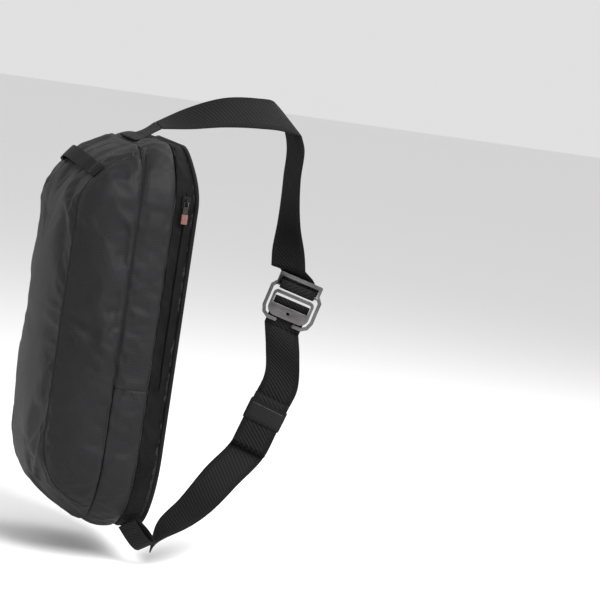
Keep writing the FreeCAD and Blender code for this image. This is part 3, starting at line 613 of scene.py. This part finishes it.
# ---- The rear band: darker plain-woven nylon with a loose hand, holding the hidden rear zip.
# The slit for the rear pocket runs up the right side; the cloth lies in shallow slanting folds.
def plain_weave(name, dark, light, pitch, roughness):
    material, tree, shader, add = new_finish(name, light, roughness, gloss=0.11)
    tree.links.new(tone(add, grain(add, 32.0, 6.0), dark, light), shader.inputs["Base Color"])
    weave = threads_pattern(add, scaled_cloth(add, pitch, pitch), 0.2, 0.8, 0.5)
    tree.links.new(relief(add, weave, 0.5, 0.00025, invert=True), shader.inputs["Normal"])
    return material


band_cloth = plain_weave("rear_band_cloth", (0.002, 0.0024, 0.0021), (0.0044, 0.005, 0.0044), 0.9, 0.7)
slit_low, slit_high, slit_depth = zip_end_z, 345, 11


def back_round(depth, nz):
    return 2.2 * (1 - ease(0, 8, depth))


band_mesh = cloth_sheet("rear_band", shell_round, 22,
                        strip_point(20.8, 0.6, 22, 1.2, back_round, 0.8), girth, 24)
face_away(band_mesh, at(0, -11, tall / 2))
rear_band = finish_piece(band_mesh, "rear_band_cloth", band_cloth)
settle(rear_band, on_strip_edge(1.8, 20.2), 0.04, 1.0, 2.5 * MM, 1.4 * MM)
band_fall = ((352, 10), (318, 18), (292, 14), (266, 22), (240, 12), (212, 20), (186, 16), (150, 20),
             (118, 10), (88, 18), (60, 8))
crease(rear_band, [((side * 121, -17, z), (side * 121, -6, z - fall), 1.0, 2.6)
                   for side in (1, -1) for z, fall in band_fall])


def open_slit(piece):
    """Cut the zip's slit into the right side of the band and turn its two lips."""
    bm = bmesh.new()
    bm.from_mesh(piece.data)
    backwards = Vector((0, 1, 0))
    for offset in (-2.6, -1.4, 0, 1.4, 2.6):
        bmesh.ops.bisect_plane(bm, geom=bm.verts[:] + bm.edges[:] + bm.faces[:], dist=1e-6,
                               plane_co=at(0, -slit_depth + offset, 0), plane_no=backwards)
    for vert in bm.verts:
        if vert.co.x / MM < front_seam_x:
            continue
        z = (vert.co.z - bag_floor) / MM
        away = abs((back_plane - vert.co.y) / MM - slit_depth)
        ends = ease(slit_low - 4, slit_low + 2, z) * (1 - ease(slit_high - 2, slit_high + 4, z))
        if away < 0.7:
            vert.co.x -= 1.5 * MM * ends
        elif away < 2.0:
            vert.co.x += 0.9 * MM * ends
        elif away < 3.2:
            vert.co.x += 0.5 * MM * ends
    bm.to_mesh(piece.data)
    bm.free()


open_slit(rear_band)
smooth_over(rear_band)
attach(rear_band, "bag")
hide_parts("rear_band", "rear_zip_tape", "rear_zip_coil")


# ---- The body lining: a plain band of lining cloth inside the gusset.
def body_inset(depth, nz):
    return 3.4 + front_lean(depth, nz)


body_mesh = cloth_sheet("body_lining_cloth", 144, 14,
                        strip_point(50.0, 21.6, 14, 0.2, body_inset, 0.0), girth, 34)
face_away(body_mesh, at(0, -36, tall / 2))
body_lining = finish_piece(body_mesh, "body_lining_cloth", lining)
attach(body_lining, "bag")
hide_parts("body_lining")


# ---- The back panel: open spacer mesh over foam, quilted in channels that let air through.
# It is sewn to the rear band all round, over a stiffener sheet that keeps the back flat.
def spacer_mesh():
    material, tree, shader, add = new_finish("spacer_mesh", (0.03, 0.03, 0.032), 0.8, gloss=0.2)
    where = add("ShaderNodeTexCoord")
    cells = add("ShaderNodeTexVoronoi", [("Vector", where.outputs["Object"])], Scale=420.0)
    cells.feature = "F1"
    cell = cells.outputs["Distance"]
    tree.links.new(tone(add, cell, (0.002, 0.002, 0.0022), (0.016, 0.016, 0.0175), 0.25, 0.5),
                   shader.inputs["Base Color"])
    tree.links.new(relief(add, cell, 0.9, 0.0009), shader.inputs["Normal"])
    return material


pad_inset, pad_back, pad_top = 1.2, 9.0, 3.2
channel_heights = (92, 168, 244, 316)
channel_x = 16


def pad_lift(x, z):
    """Height of the quilting: it dips along the sewn channels."""
    dip = math.exp(-((abs(x) - channel_x) / 3.0) ** 2) * ease(50, 70, z) * (1 - ease(322, 342, z))
    for height in channel_heights:
        sweep = height + 10 * (abs(x) / half_wide) ** 2
        dip += math.exp(-((z - sweep) / 3.2) ** 2) * ease(channel_x - 2, channel_x + 4, abs(x))
    return 1 - 0.75 * min(dip, 1)


def pad_point(u, v):
    side = 1 - v * 2
    if side >= 0:
        px, pz = inward(u, pad_inset + (half_wide - pad_inset) * side ** 1.15)
        swell = 5.2 * (1 - (1 - side) ** 7) * (pad_lift(px, pz) if side > 0 else 1)
        return at(px, -nod(pad_top - swell - 2.2, pz), pz)
    px, pz = inward(u, pad_inset + 0.6 + (half_wide - pad_inset - 0.6) * (-side) ** 1.3)
    return at(px, -nod(pad_back - 0.2, pz), pz)


pad_mesh = cloth_sheet("back_pad", 240, 96, pad_point, girth, 240)
face_away(pad_mesh, at(0, -3, tall / 2))
mesh_cloth = spacer_mesh()
back_pad = finish_piece(pad_mesh, "back_pad", mesh_cloth)


def pad_held(co):
    x, z = co.x / MM, (co.z - bag_floor) / MM
    return co.y < at(0, -1.5, 0).y or pad_lift(x, z) < 0.5


settle(back_pad, pad_held, 0.02, 2.0, 2.5 * MM, 1.0 * MM)
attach(back_pad, "bag")
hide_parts("back_panel")


# ---- The piping: a thin cord wrapped in bias tape, sewn round the edge of the back panel.
piping_radius, piping_inset, piping_y = 2.3, 1.3, 0.9


def piping_point(u, v):
    x, z, nx, nz = outline(u)
    angle = math.tau * v
    out = piping_radius * math.cos(angle) - piping_inset
    return at(x + nx * out, -nod(-piping_y, z) + piping_radius * math.sin(angle), z + nz * out)


piping_mesh = cloth_sheet("piping", 360, 12, piping_point, girth, 12)
face_away(piping_mesh, at(0, 0, tall / 2))
bias_tape = plain_weave("bias_tape", (0.003, 0.003, 0.003), (0.006, 0.006, 0.006), 0.7, 0.55)
piping = finish_piece(piping_mesh, "piping", bias_tape)
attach(piping, "bag")
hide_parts("back_piping")


# ---- The webbing: 38 mm nylon herringbone, with a rounded selvedge along both edges.
# A sewn wing anchors it at the top of the bag; it hangs, folds once and runs down to the buckle.
def nylon_webbing(name, dark, light, rib=2.1):
    material, tree, shader, add = new_finish(name, light, 0.62, gloss=0.12)
    twill = add("ShaderNodeTexWave", [("Vector", scaled_cloth(add, rib, rib, math.radians(58)))])
    twill.wave_type, twill.bands_direction = "BANDS", "X"
    for key, value in (("Scale", 0.32), ("Distortion", 0.6), ("Detail", 2.0), ("Detail Scale", 1.2)):
        set_input(twill, key, value)
    tree.links.new(tone(add, twill.outputs["Fac"], dark, light, 0.15, 0.85), shader.inputs["Base Color"])
    threads = threads_pattern(add, scaled_cloth(add, 1.1, 0.55), 0.12, 1.0, 1.0)
    ribs = relief(add, twill.outputs["Fac"], 0.65, 0.0005)
    tree.links.new(relief(add, threads, 0.35, 0.0002, ribs, invert=True), shader.inputs["Normal"])
    return material


webbing = nylon_webbing("strap_webbing", (0.0026, 0.0026, 0.0028), (0.0088, 0.0086, 0.0083))
webbing_thick, webbing_half = 1.8, 19.0


def run_through(stations, share):
    """Centre and half-width on a smooth line through the stations, even in length."""
    lengths = [0.0]
    for (one, _), (two, _) in zip(stations, stations[1:]):
        lengths.append(lengths[-1] + (two - one).length)
    goal = share * lengths[-1]
    index = max(i for i in range(len(stations) - 1) if lengths[i] <= goal + 1e-9)
    span = lengths[index + 1] - lengths[index]
    t = min(max((goal - lengths[index]) / span, 0), 1)

    def smooth(item):
        values = [stations[i][item] for i in range(len(stations))]
        p1, p2 = values[index], values[index + 1]
        before = values[index - 1] if index > 0 else p1 - (p2 - p1)
        after = values[index + 2] if index + 2 < len(values) else p2 + (p2 - p1)
        gap_before = lengths[index] - lengths[index - 1] if index > 0 else span
        gap_after = lengths[index + 2] - lengths[index + 1] if index + 2 < len(values) else span
        m1 = ((p1 - before) / gap_before * span + (p2 - p1) / span * gap_before) / (gap_before + span)
        m2 = ((p2 - p1) / span * gap_after + (after - p2) / gap_after * span) / (span + gap_after)
        t2, t3 = t * t, t * t * t
        return (p1 * (2 * t3 - 3 * t2 + 1) + m1 * span * (t3 - 2 * t2 + t)
                + p2 * (3 * t2 - 2 * t3) + m2 * span * (t3 - t2))

    return smooth(0), smooth(1), lengths[-1]


def strap(name, stations, thick=webbing_thick, material=None, every=2.5):
    """A length of webbing through (centre, half-width) stations, given in millimetres."""
    total = run_through(stations, 0)[2]
    rows, around = max(8, round(total / every)), 20

    def place(u, v):
        centre, half, length = run_through(stations, u)
        ahead = run_through(stations, min(u + 0.004, 1))[0] - run_through(stations, max(u - 0.004, 0))[0]
        up = ahead.cross(half).normalized()
        angle = math.tau * v
        wide = math.copysign(abs(math.cos(angle)) ** 0.3, math.cos(angle))
        high = math.copysign(abs(math.sin(angle)) ** 0.55, math.sin(angle))
        return at(*(centre + half * wide + up * (thick / 2 * high)))

    bm = cloth_sheet(name, rows, around, place, total, 2)
    uv = bm.loops.layers.uv.active
    half_long = stations[0][1].length
    for face in bm.faces:
        for loop in face.loops:
            v = loop[uv].uv.y / (2 * MM)
            loop[uv].uv.y = math.cos(math.tau * v) * half_long * MM
    open_edges = [edge for edge in bm.edges if edge.is_boundary]
    bmesh.ops.holes_fill(bm, edges=open_edges, sides=0)
    bmesh.ops.recalc_face_normals(bm, faces=bm.faces)
    return finish_piece(bm, name, material or webbing)


def millimetres(*stations):
    return [(Vector(centre), Vector(half)) for centre, half in stations]


wing_tip = (0, -24, tall + 14)
wing_stations = millimetres(((0, -53.5, 386.2), (41, 0, 0)), ((0, -42.8, 389.2), (32.8, 0, 0)),
                            ((0, -33.2, 395), (24.6, 0, 0)), (wing_tip, (19, 0, -2)))
top_wing = strap("top_wing_webbing", wing_stations)
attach(top_wing, "bag")
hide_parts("top_wing")

strap_bend, bend_half = (-1, 132.5, 275), (10.5, 15.8, -0.5)
upper_stations = millimetres(((0, -23.2, tall + 14.2), (19, 0, -2)), ((0, 6, tall + 25), (16.5, 0, -9.4)),
                             ((0, 42, tall + 36), (12.6, 0, -14.2)), ((0, 78, tall + 40), (12, 1, -14.7)),
                             ((-2, 98, tall + 40), (11.5, 5, -14.3)),
                             ((-2, 111, tall + 36.5), (12, 12, -13.5)))
drop_stations = millimetres(((-2, 111, tall + 36.5), (12, 12, -13.5)), ((0, 120, tall + 14), (17.5, 6, -4)),
                            ((0, 122, tall - 22), (18.5, 4.5, 0)), ((0, 126, tall - 68), (17, 8, 0)),
                            ((0, 130, tall - 98), (12, 14.6, 0)), (strap_bend, bend_half))
upper_strap = strap("upper_strap_run", upper_stations)
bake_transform(upper_strap)
drop_strap = strap("upper_strap_drop", drop_stations)
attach(drop_strap, "upper_strap")
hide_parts("upper_webbing")

buckle_across = Vector((0.252, 0.935, -0.25)).normalized()
buckle_facing = Vector((0.966, -0.259, 0.0))
buckle_facing = (buckle_facing - buckle_across * buckle_facing.dot(buckle_across)).normalized()
buckle_up = buckle_facing.cross(buckle_across)
buckle_centre = Vector((0, 143, 244))


def in_buckle(u, v, n):
    """A place in the buckle's own frame: across the webbing, up its length, out of its face."""
    return buckle_centre + buckle_across * u + buckle_up * v + buckle_facing * n


half_across = buckle_across * webbing_half
bar_v, wrap = 9.5, 2.8
hook_end = [(Vector(strap_bend), Vector(bend_half)), (in_buckle(-5, 22.5, -4), half_across),
            (in_buckle(-1, 15.5, -3.2), half_across), (in_buckle(0, bar_v + 1, -wrap), half_across),
            (in_buckle(0, bar_v - wrap * 0.8, -wrap * 0.75), half_across),
            (in_buckle(0, bar_v - wrap * 1.12, 0), half_across),
            (in_buckle(0, bar_v - wrap * 0.8, wrap * 0.75), half_across),
            (in_buckle(0, bar_v + 1, wrap), half_across), (in_buckle(0, 15.5, wrap * 0.8), half_across)]
hook_strap = strap("upper_strap_turn", hook_end, every=1.2)
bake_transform(hook_strap)
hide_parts("upper_strap_end")


# ---- The buckle: two pieces of bead-blasted, dark anodised aluminium, three millimetres thick.
# The hook has two curled arms; the slotted ring lifts out of them when the strap is slack.
def anodised(name, colour, roughness):
    material, tree, shader, add = new_finish(name, colour, roughness, metal=0.92)
    patches = grain(add, 70.0, 4.0)
    low, high = [tuple(part * share for part in colour) for share in (0.82, 1.18)]
    tree.links.new(tone(add, patches, low, high), shader.inputs["Base Color"])
    rub = add("ShaderNodeMapRange", [("Value", patches)])
    set_input(rub, "To Min", roughness - 0.08)
    set_input(rub, "To Max", roughness + 0.08)
    tree.links.new(rub.outputs["Result"], shader.inputs["Roughness"])
    tree.links.new(relief(add, grain(add, 900.0, 3.0), 0.12, 0.0002), shader.inputs["Normal"])
    return material


gunmetal = anodised("anodised_gunmetal", (0.105, 0.101, 0.103), 0.4)


def machined_copy(node, name, body, material, edge):
    """The CAD piece again, with its flats made whole and every edge broken."""
    bm = bmesh.new()
    bm.from_mesh(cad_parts[node].data)
    bmesh.ops.remove_doubles(bm, verts=bm.verts, dist=0.01 * MM)
    bmesh.ops.dissolve_limit(bm, angle_limit=math.radians(4), verts=bm.verts, edges=bm.edges)
    piece = finish_piece(bm, name, material)
    for polygon in piece.data.polygons:
        polygon.material_index = 0
    bevel = piece.modifiers.new("broken_edges", "BEVEL")
    bevel.width, bevel.segments = edge * MM, 3
    bevel.limit_method, bevel.angle_limit = "ANGLE", math.radians(30)
    bevel.harden_normals = True
    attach(piece, body)
    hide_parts(node)
    return piece


machined_copy("hook_frame", "buckle_hook", "hook", gunmetal, 0.55)
machined_copy("buckle_ring", "buckle_slot_ring", "ring", gunmetal, 0.55)


# ---- The lower strap: the same webbing, from the ring down to the sewn tab at the bag's corner.
# It twists edge-on as it comes round behind the bag; its spare end is folded under a keeper.
slot_v, ring_low_v, ring_wrap = -4.85, -23, 2.8
ring_end = [(in_buckle(0, slot_v + 2.5, 0.6), half_across), (in_buckle(0, slot_v - 1.5, -0.8), half_across),
            (in_buckle(0, slot_v - 6.2, -ring_wrap * 1.15), half_across),
            (in_buckle(0, ring_low_v + 4, -ring_wrap * 1.2), half_across),
            (in_buckle(0, ring_low_v - 3, -ring_wrap * 1.3), half_across),
            (in_buckle(0, -33, -4.5), half_across)]
ring_strap = strap("lower_strap_turn", ring_end, every=1.5)
at(*ring_end[-1][0])
at(*ring_end[-3][0])
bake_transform(ring_strap)
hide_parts("lower_strap_end")

keeper_centre = Vector((0, 131, 122))
keeper_along = Vector((0, 0.33, 1)).normalized()
keeper_across = Vector((0.3, 0.905, -0.299))
keeper_across = (keeper_across - keeper_along * keeper_across.dot(keeper_along)).normalized()
keeper_facing = keeper_across.cross(keeper_along)
keeper_half = keeper_across * webbing_half


def on_strap(along, out=0.0, across=0.0):
    return keeper_centre + keeper_along * along + keeper_facing * out + keeper_across * across


tab_tip = Vector((88, 7, -11))
lower_stations = ([ring_end[-1]] + millimetres(((-2, 140, 188), (10, 16, -2)))
                  + [(on_strap(along), keeper_half) for along in (36, 12, -12, -36)]
                  + millimetres(((14, 91, 55), (8, 16, -6.5)), ((33, 64, 26), (12.5, 14, -3.5)),
                                ((58, 36, 6), (13, 12, 1)), ((77, 21, -6), (8, 5, 5)),
                                ((88, 12.9, -12.2), (5, 0, 6))))
lower_strap = strap("lower_strap_run", lower_stations)
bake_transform(lower_strap)
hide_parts("lower_webbing")

tail_middle, tail_out, tail_reach, fold_step = -11, 5.7, 30.5, 1.9
tail_path = []
for layer in range(4):
    way = 1 if layer % 2 == 0 else -1
    off = (layer - 1.5) * fold_step
    tail_path += [(way * along, off) for along in (-tail_reach + 4, -12, 0, 12, tail_reach - 4)]
    if layer < 3:
        tail_path.append((way * (tail_reach - 0.8), off + fold_step / 2))
tail = strap("strap_tail_folds", [(on_strap(tail_middle + along, tail_out + off), keeper_half)
                                  for along, off in tail_path], thick=1.7)
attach(tail, "lower_strap")
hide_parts("strap_tail")


# ---- The keeper: a loop of ribbed elastic that holds the folded tail against the strap.
def ribbed_elastic():
    material, tree, shader, add = new_finish("ribbed_elastic", (0.007, 0.007, 0.0073), 0.6, gloss=0.14)
    ribs = add("ShaderNodeTexWave", [("Vector", scaled_cloth(add, 0.45, 0.45))])
    ribs.wave_type, ribs.bands_direction = "BANDS", "Y"
    set_input(ribs, "Scale", 0.33)
    tree.links.new(tone(add, ribs.outputs["Fac"], (0.0045, 0.0045, 0.0048), (0.0085, 0.0085, 0.009)),
                   shader.inputs["Base Color"])
    tree.links.new(relief(add, ribs.outputs["Fac"], 0.5, 0.0004), shader.inputs["Normal"])
    return material


keeper_high, keeper_thick = 22.0, 1.2
keeper_in, keeper_out, keeper_side = -1.7, 10.2, 19.8


def keeper_point(u, v):
    angle = math.tau * u
    wide = math.copysign(abs(math.cos(angle)) ** 0.32, math.cos(angle))
    high = math.copysign(abs(math.sin(angle)) ** 0.32, math.sin(angle))
    section = math.tau * v
    skin = keeper_thick / 2 * math.copysign(abs(math.sin(section)) ** 0.6, math.sin(section))
    along = keeper_high / 2 * math.copysign(abs(math.cos(section)) ** 0.3, math.cos(section))
    middle, reach = (keeper_in + keeper_out) / 2, (keeper_out - keeper_in) / 2
    return at(*on_strap(along, middle + (reach + skin) * high, (keeper_side + skin) * wide))


keeper_mesh = cloth_sheet("keeper", 72, 20, keeper_point, 100, 46)
face_away(keeper_mesh, at(*on_strap(0, 4.2)))
keeper = finish_piece(keeper_mesh, "elastic_keeper", ribbed_elastic())
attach(keeper, "keeper")
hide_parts("keeper_band")

# ---- The bottom tab: narrower webbing folded into a loop, both ends caught in the corner seam.
bag_corner = Vector((89, -15, 11))
tab_along = (tab_tip - bag_corner).normalized()
tab_across = Vector((0.62, 0.3, 0.72))
tab_across = (tab_across - tab_along * tab_across.dot(tab_along)).normalized()
tab_normal = tab_along.cross(tab_across)
tab_long = (tab_tip - bag_corner).length
tab_path = [(-0.02, 0.5), (0.35, 0.9), (0.7, 1.0), (0.92, 0.6), (1.0, 0.0)]
tab_path += [(along, -off) for along, off in reversed(tab_path[:-1])]
tab = strap("bottom_tab_loop", [(bag_corner + tab_along * (tab_long * along) + tab_normal * (4.9 * off),
                                 tab_across * 11) for along, off in tab_path], every=1.5)
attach(tab, "bag")
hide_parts("bottom_tab")

# ---- The light loop: narrow webbing over the front top, sewn flat at both ends and free between.
loop_out = Vector((0, -0.778, 0.628))
loop_base = Vector((0, -96, 354.5))
loop_half = Vector((0, loop_out.z, -loop_out.y)) * 7.5
loop_reach, loop_rise, loop_lift = 95, 13, 1.1


def surface_of(piece):
    """A piece's own surface, to sit other pieces and stitches on."""
    bm = bmesh.new()
    bm.from_mesh(piece.data)
    tree = BVHTree.FromBMesh(bm)
    bm.free()
    return tree


shell_surface = surface_of(front_shell)


def on_front_top(x):
    """Where the shell lies below the loop, at this distance from the bag's middle."""
    start = at(x, loop_base.y, loop_base.z) + loop_out * 40 * MM
    hit = shell_surface.ray_cast(start, -loop_out)[0]
    return Vector((x, (hit.y - back_plane) / MM, (hit.z - bag_floor) / MM))


loop_shape = [(1, 0), (0.9, 0), (0.78, 0.04), (0.6, 0.22), (0.4, 0.62), (0.2, 0.93)]
loop_shape = [(-along, rise) for along, rise in loop_shape] + [(0, 1)] + loop_shape[::-1]
loop_stations = [(on_front_top(loop_reach * along) + loop_out * (loop_lift + loop_rise * rise), loop_half)
                 for along, rise in loop_shape]
light_loop = strap("light_loop_band", loop_stations, every=1.5)
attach(light_loop, "front_flap")
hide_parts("light_loop")

# ---- The stitches: bonded polyester thread, locked every three millimetres or so.
# They hold the loop, the wing, the keeper and the zip end, and quilt the back panel's channels.
def sewing_thread(name, colour):
    material, tree, shader, add = new_finish(name, colour, 0.55, gloss=0.3)
    low, high = [tuple(part * share for part in colour) for share in (0.7, 1.3)]
    tree.links.new(tone(add, grain(add, 2600.0, 2.0), low, high), shader.inputs["Base Color"])
    return material


black_thread = sewing_thread("black_thread", (0.012, 0.012, 0.0125))
grey_thread = sewing_thread("grey_thread", (0.09, 0.088, 0.09))
stitch_long, stitch_half = 2.1, 0.32


def sew(name, cloth, lines, body, thread, pitch=3.0):
    """A row of stitches along each line, every one lying on the cloth nearest to it."""
    surface = surface_of(cloth)
    rows = bmesh.new()
    for start, end in lines:
        run = end - start
        count = max(2, round(run.length / (pitch * MM)))
        for number in range(count):
            place, normal = surface.find_nearest(start + run * ((number + 0.5) / count))[:2]
            out = normal if normal.dot(start - place) > 0 else -normal
            along = (run - out * run.dot(out)).normalized()
            stitch = bmesh.ops.create_uvsphere(rows, u_segments=6, v_segments=4, radius=MM)["verts"]
            bmesh.ops.scale(rows, verts=stitch, vec=(stitch_half, stitch_half, stitch_long / 2))
            turn = facing_matrix(out.cross(along), out, along, place + out * 0.1 * MM)
            bmesh.ops.transform(rows, verts=stitch, matrix=turn)
    bmesh.ops.recalc_face_normals(rows, faces=rows.faces)
    piece = finish_piece(rows, name, thread)
    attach(piece, body)


loop_lines = []
for side in (-1, 1):
    for x in (loop_reach - 3, loop_reach - 11):
        middle = on_front_top(side * x) + loop_out * 6
        loop_lines.append((at(*(middle - loop_half * 0.75)), at(*(middle + loop_half * 0.75))))
loop_lines += [(loop_lines[0][0], loop_lines[1][0]), (loop_lines[0][1], loop_lines[1][1]),
               (loop_lines[2][0], loop_lines[3][0]), (loop_lines[2][1], loop_lines[3][1])]
sew("light_loop_stitches", light_loop, loop_lines, "front_flap", black_thread, 2.6)
wing_lines = [(at(-half, y, 400), at(half, y, 400)) for half, y in ((36, -50), (31, -45))]
sew("wing_stitches", top_wing, wing_lines, "bag", black_thread)
zip_end_lines = [(at(side * 130, -25, zip_seam_z - drop), at(side * 130, -52, zip_seam_z - drop))
                 for side in (-1, 1) for drop in (2.2, 4.4)]
sew("zip_end_stitches", gusset, zip_end_lines, "bag", black_thread, 2.8)
keeper_line = (at(*on_strap(7, 14, -17)), at(*on_strap(7, 14, 17)))
sew("keeper_stitches", keeper, [keeper_line], "keeper", grey_thread, 2.4)
tab_root = [bag_corner + tab_along * along + tab_normal * 12 for along in (7, 9.5)]
tab_lines = [(at(*(place - tab_across * 9)), at(*(place + tab_across * 9))) for place in tab_root]
sew("tab_stitches", tab, tab_lines, "bag", black_thread, 2.4)
channel_lines = [(at(side * channel_x, 8, 62), at(side * channel_x, 8, 326)) for side in (-1, 1)]
for height in channel_heights:
    for side in (-1, 1):
        channel_lines += [(at(side * x, 8, height + 10 * (x / half_wide) ** 2),
                           at(side * (x + 22), 8, height + 10 * ((x + 22) / half_wide) ** 2))
                          for x in (20, 42, 64, 86)]
sew("quilting_stitches", back_pad, channel_lines, "bag", black_thread, 4.0)

# ---- The zips: nylon coil on woven tape, cast sliders with a wire bail, and cord-grip pulls.
slider_alloy = anodised("slider_alloy", (0.012, 0.012, 0.0125), 0.42)
pull_alloy = anodised("pull_alloy", (0.035, 0.034, 0.033), 0.4)


def moulded_grip():
    material, tree, shader, add = new_finish("rose_grip", (0.17, 0.07, 0.055), 0.55, gloss=0.3)
    patches = grain(add, 240.0, 5.0)
    tree.links.new(tone(add, patches, (0.085, 0.034, 0.028), (0.15, 0.07, 0.056)),
                   shader.inputs["Base Color"])
    tree.links.new(relief(add, patches, 0.3, 0.0004), shader.inputs["Normal"])
    return material


grip = moulded_grip()
for zip_name in ("main", "rear"):
    machined_copy(f"{zip_name}_zip_slider", f"{zip_name}_slider_body", f"{zip_name}_slider",
                  slider_alloy, 0.12)
    machined_copy(f"{zip_name}_zip_pull", f"{zip_name}_pull_plate", f"{zip_name}_pull",
                  pull_alloy, 0.25)
    machined_copy(f"{zip_name}_zip_pull_tab", f"{zip_name}_pull_grip", f"{zip_name}_pull",
                  grip, 0.6)

# ---- What the bag holds inside: zip tape and coil, sleeve, divider, foam and stiffener.
# These stay as the frame has them and get the finish of the real cloth, tape or board.


def object_finish(name, dark, light, scale, roughness, bump):
    """A finish for the frame's own pieces, which have no UV map of cloth."""
    material, tree, shader, add = new_finish(name, light, roughness, gloss=0.25)
    texture = grain(add, scale, 5.0)
    tree.links.new(tone(add, texture, dark, light), shader.inputs["Base Color"])
    tree.links.new(relief(add, texture, 0.5, bump), shader.inputs["Normal"])
    return material


def coil_finish():
    material, tree, shader, add = new_finish("zip_coil", (0.005, 0.005, 0.005), 0.6, gloss=0.15)
    where = add("ShaderNodeTexCoord")
    turns = add("ShaderNodeTexWave", [("Vector", where.outputs["Object"])])
    turns.wave_type, turns.bands_direction = "BANDS", "Z"
    set_input(turns, "Scale", 210.0)
    tree.links.new(tone(add, turns.outputs["Fac"], (0.002, 0.002, 0.002), (0.008, 0.008, 0.0082)),
                   shader.inputs["Base Color"])
    tree.links.new(relief(add, turns.outputs["Fac"], 0.8, 0.0006), shader.inputs["Normal"])
    return material


tape_finish = object_finish("zip_tape", (0.007, 0.007, 0.007), (0.014, 0.014, 0.014), 1500, 0.7, 0.0002)
inside = {
    "zip_tape": tape_finish, "zip_coil": coil_finish(),
    "foam": object_finish("pad_foam", (0.05, 0.05, 0.05), (0.09, 0.09, 0.09), 900, 0.95, 0.0006),
    "stiffener": object_finish("stiffener_board", (0.03, 0.03, 0.03), (0.05, 0.05, 0.05), 120, 0.45, 0.0002),
    "rear_pocket_divider": object_finish("divider_cloth", (0.12, 0.12, 0.125), (0.18, 0.18, 0.185),
                                         1400, 0.7, 0.0002),
    "tablet_sleeve": object_finish("sleeve_cloth", (0.10, 0.10, 0.105), (0.16, 0.16, 0.165),
                                   1600, 0.85, 0.0003),
    "binding": object_finish("binding_tape", (0.008, 0.008, 0.008), (0.018, 0.018, 0.018),
                             1800, 0.6, 0.0002),
}
for node_name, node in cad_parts.items():
    for word, material in inside.items():
        if word in node_name:
            node.data.materials.clear()
            node.data.materials.append(material)
            for polygon in node.data.polygons:
                polygon.material_index = 0
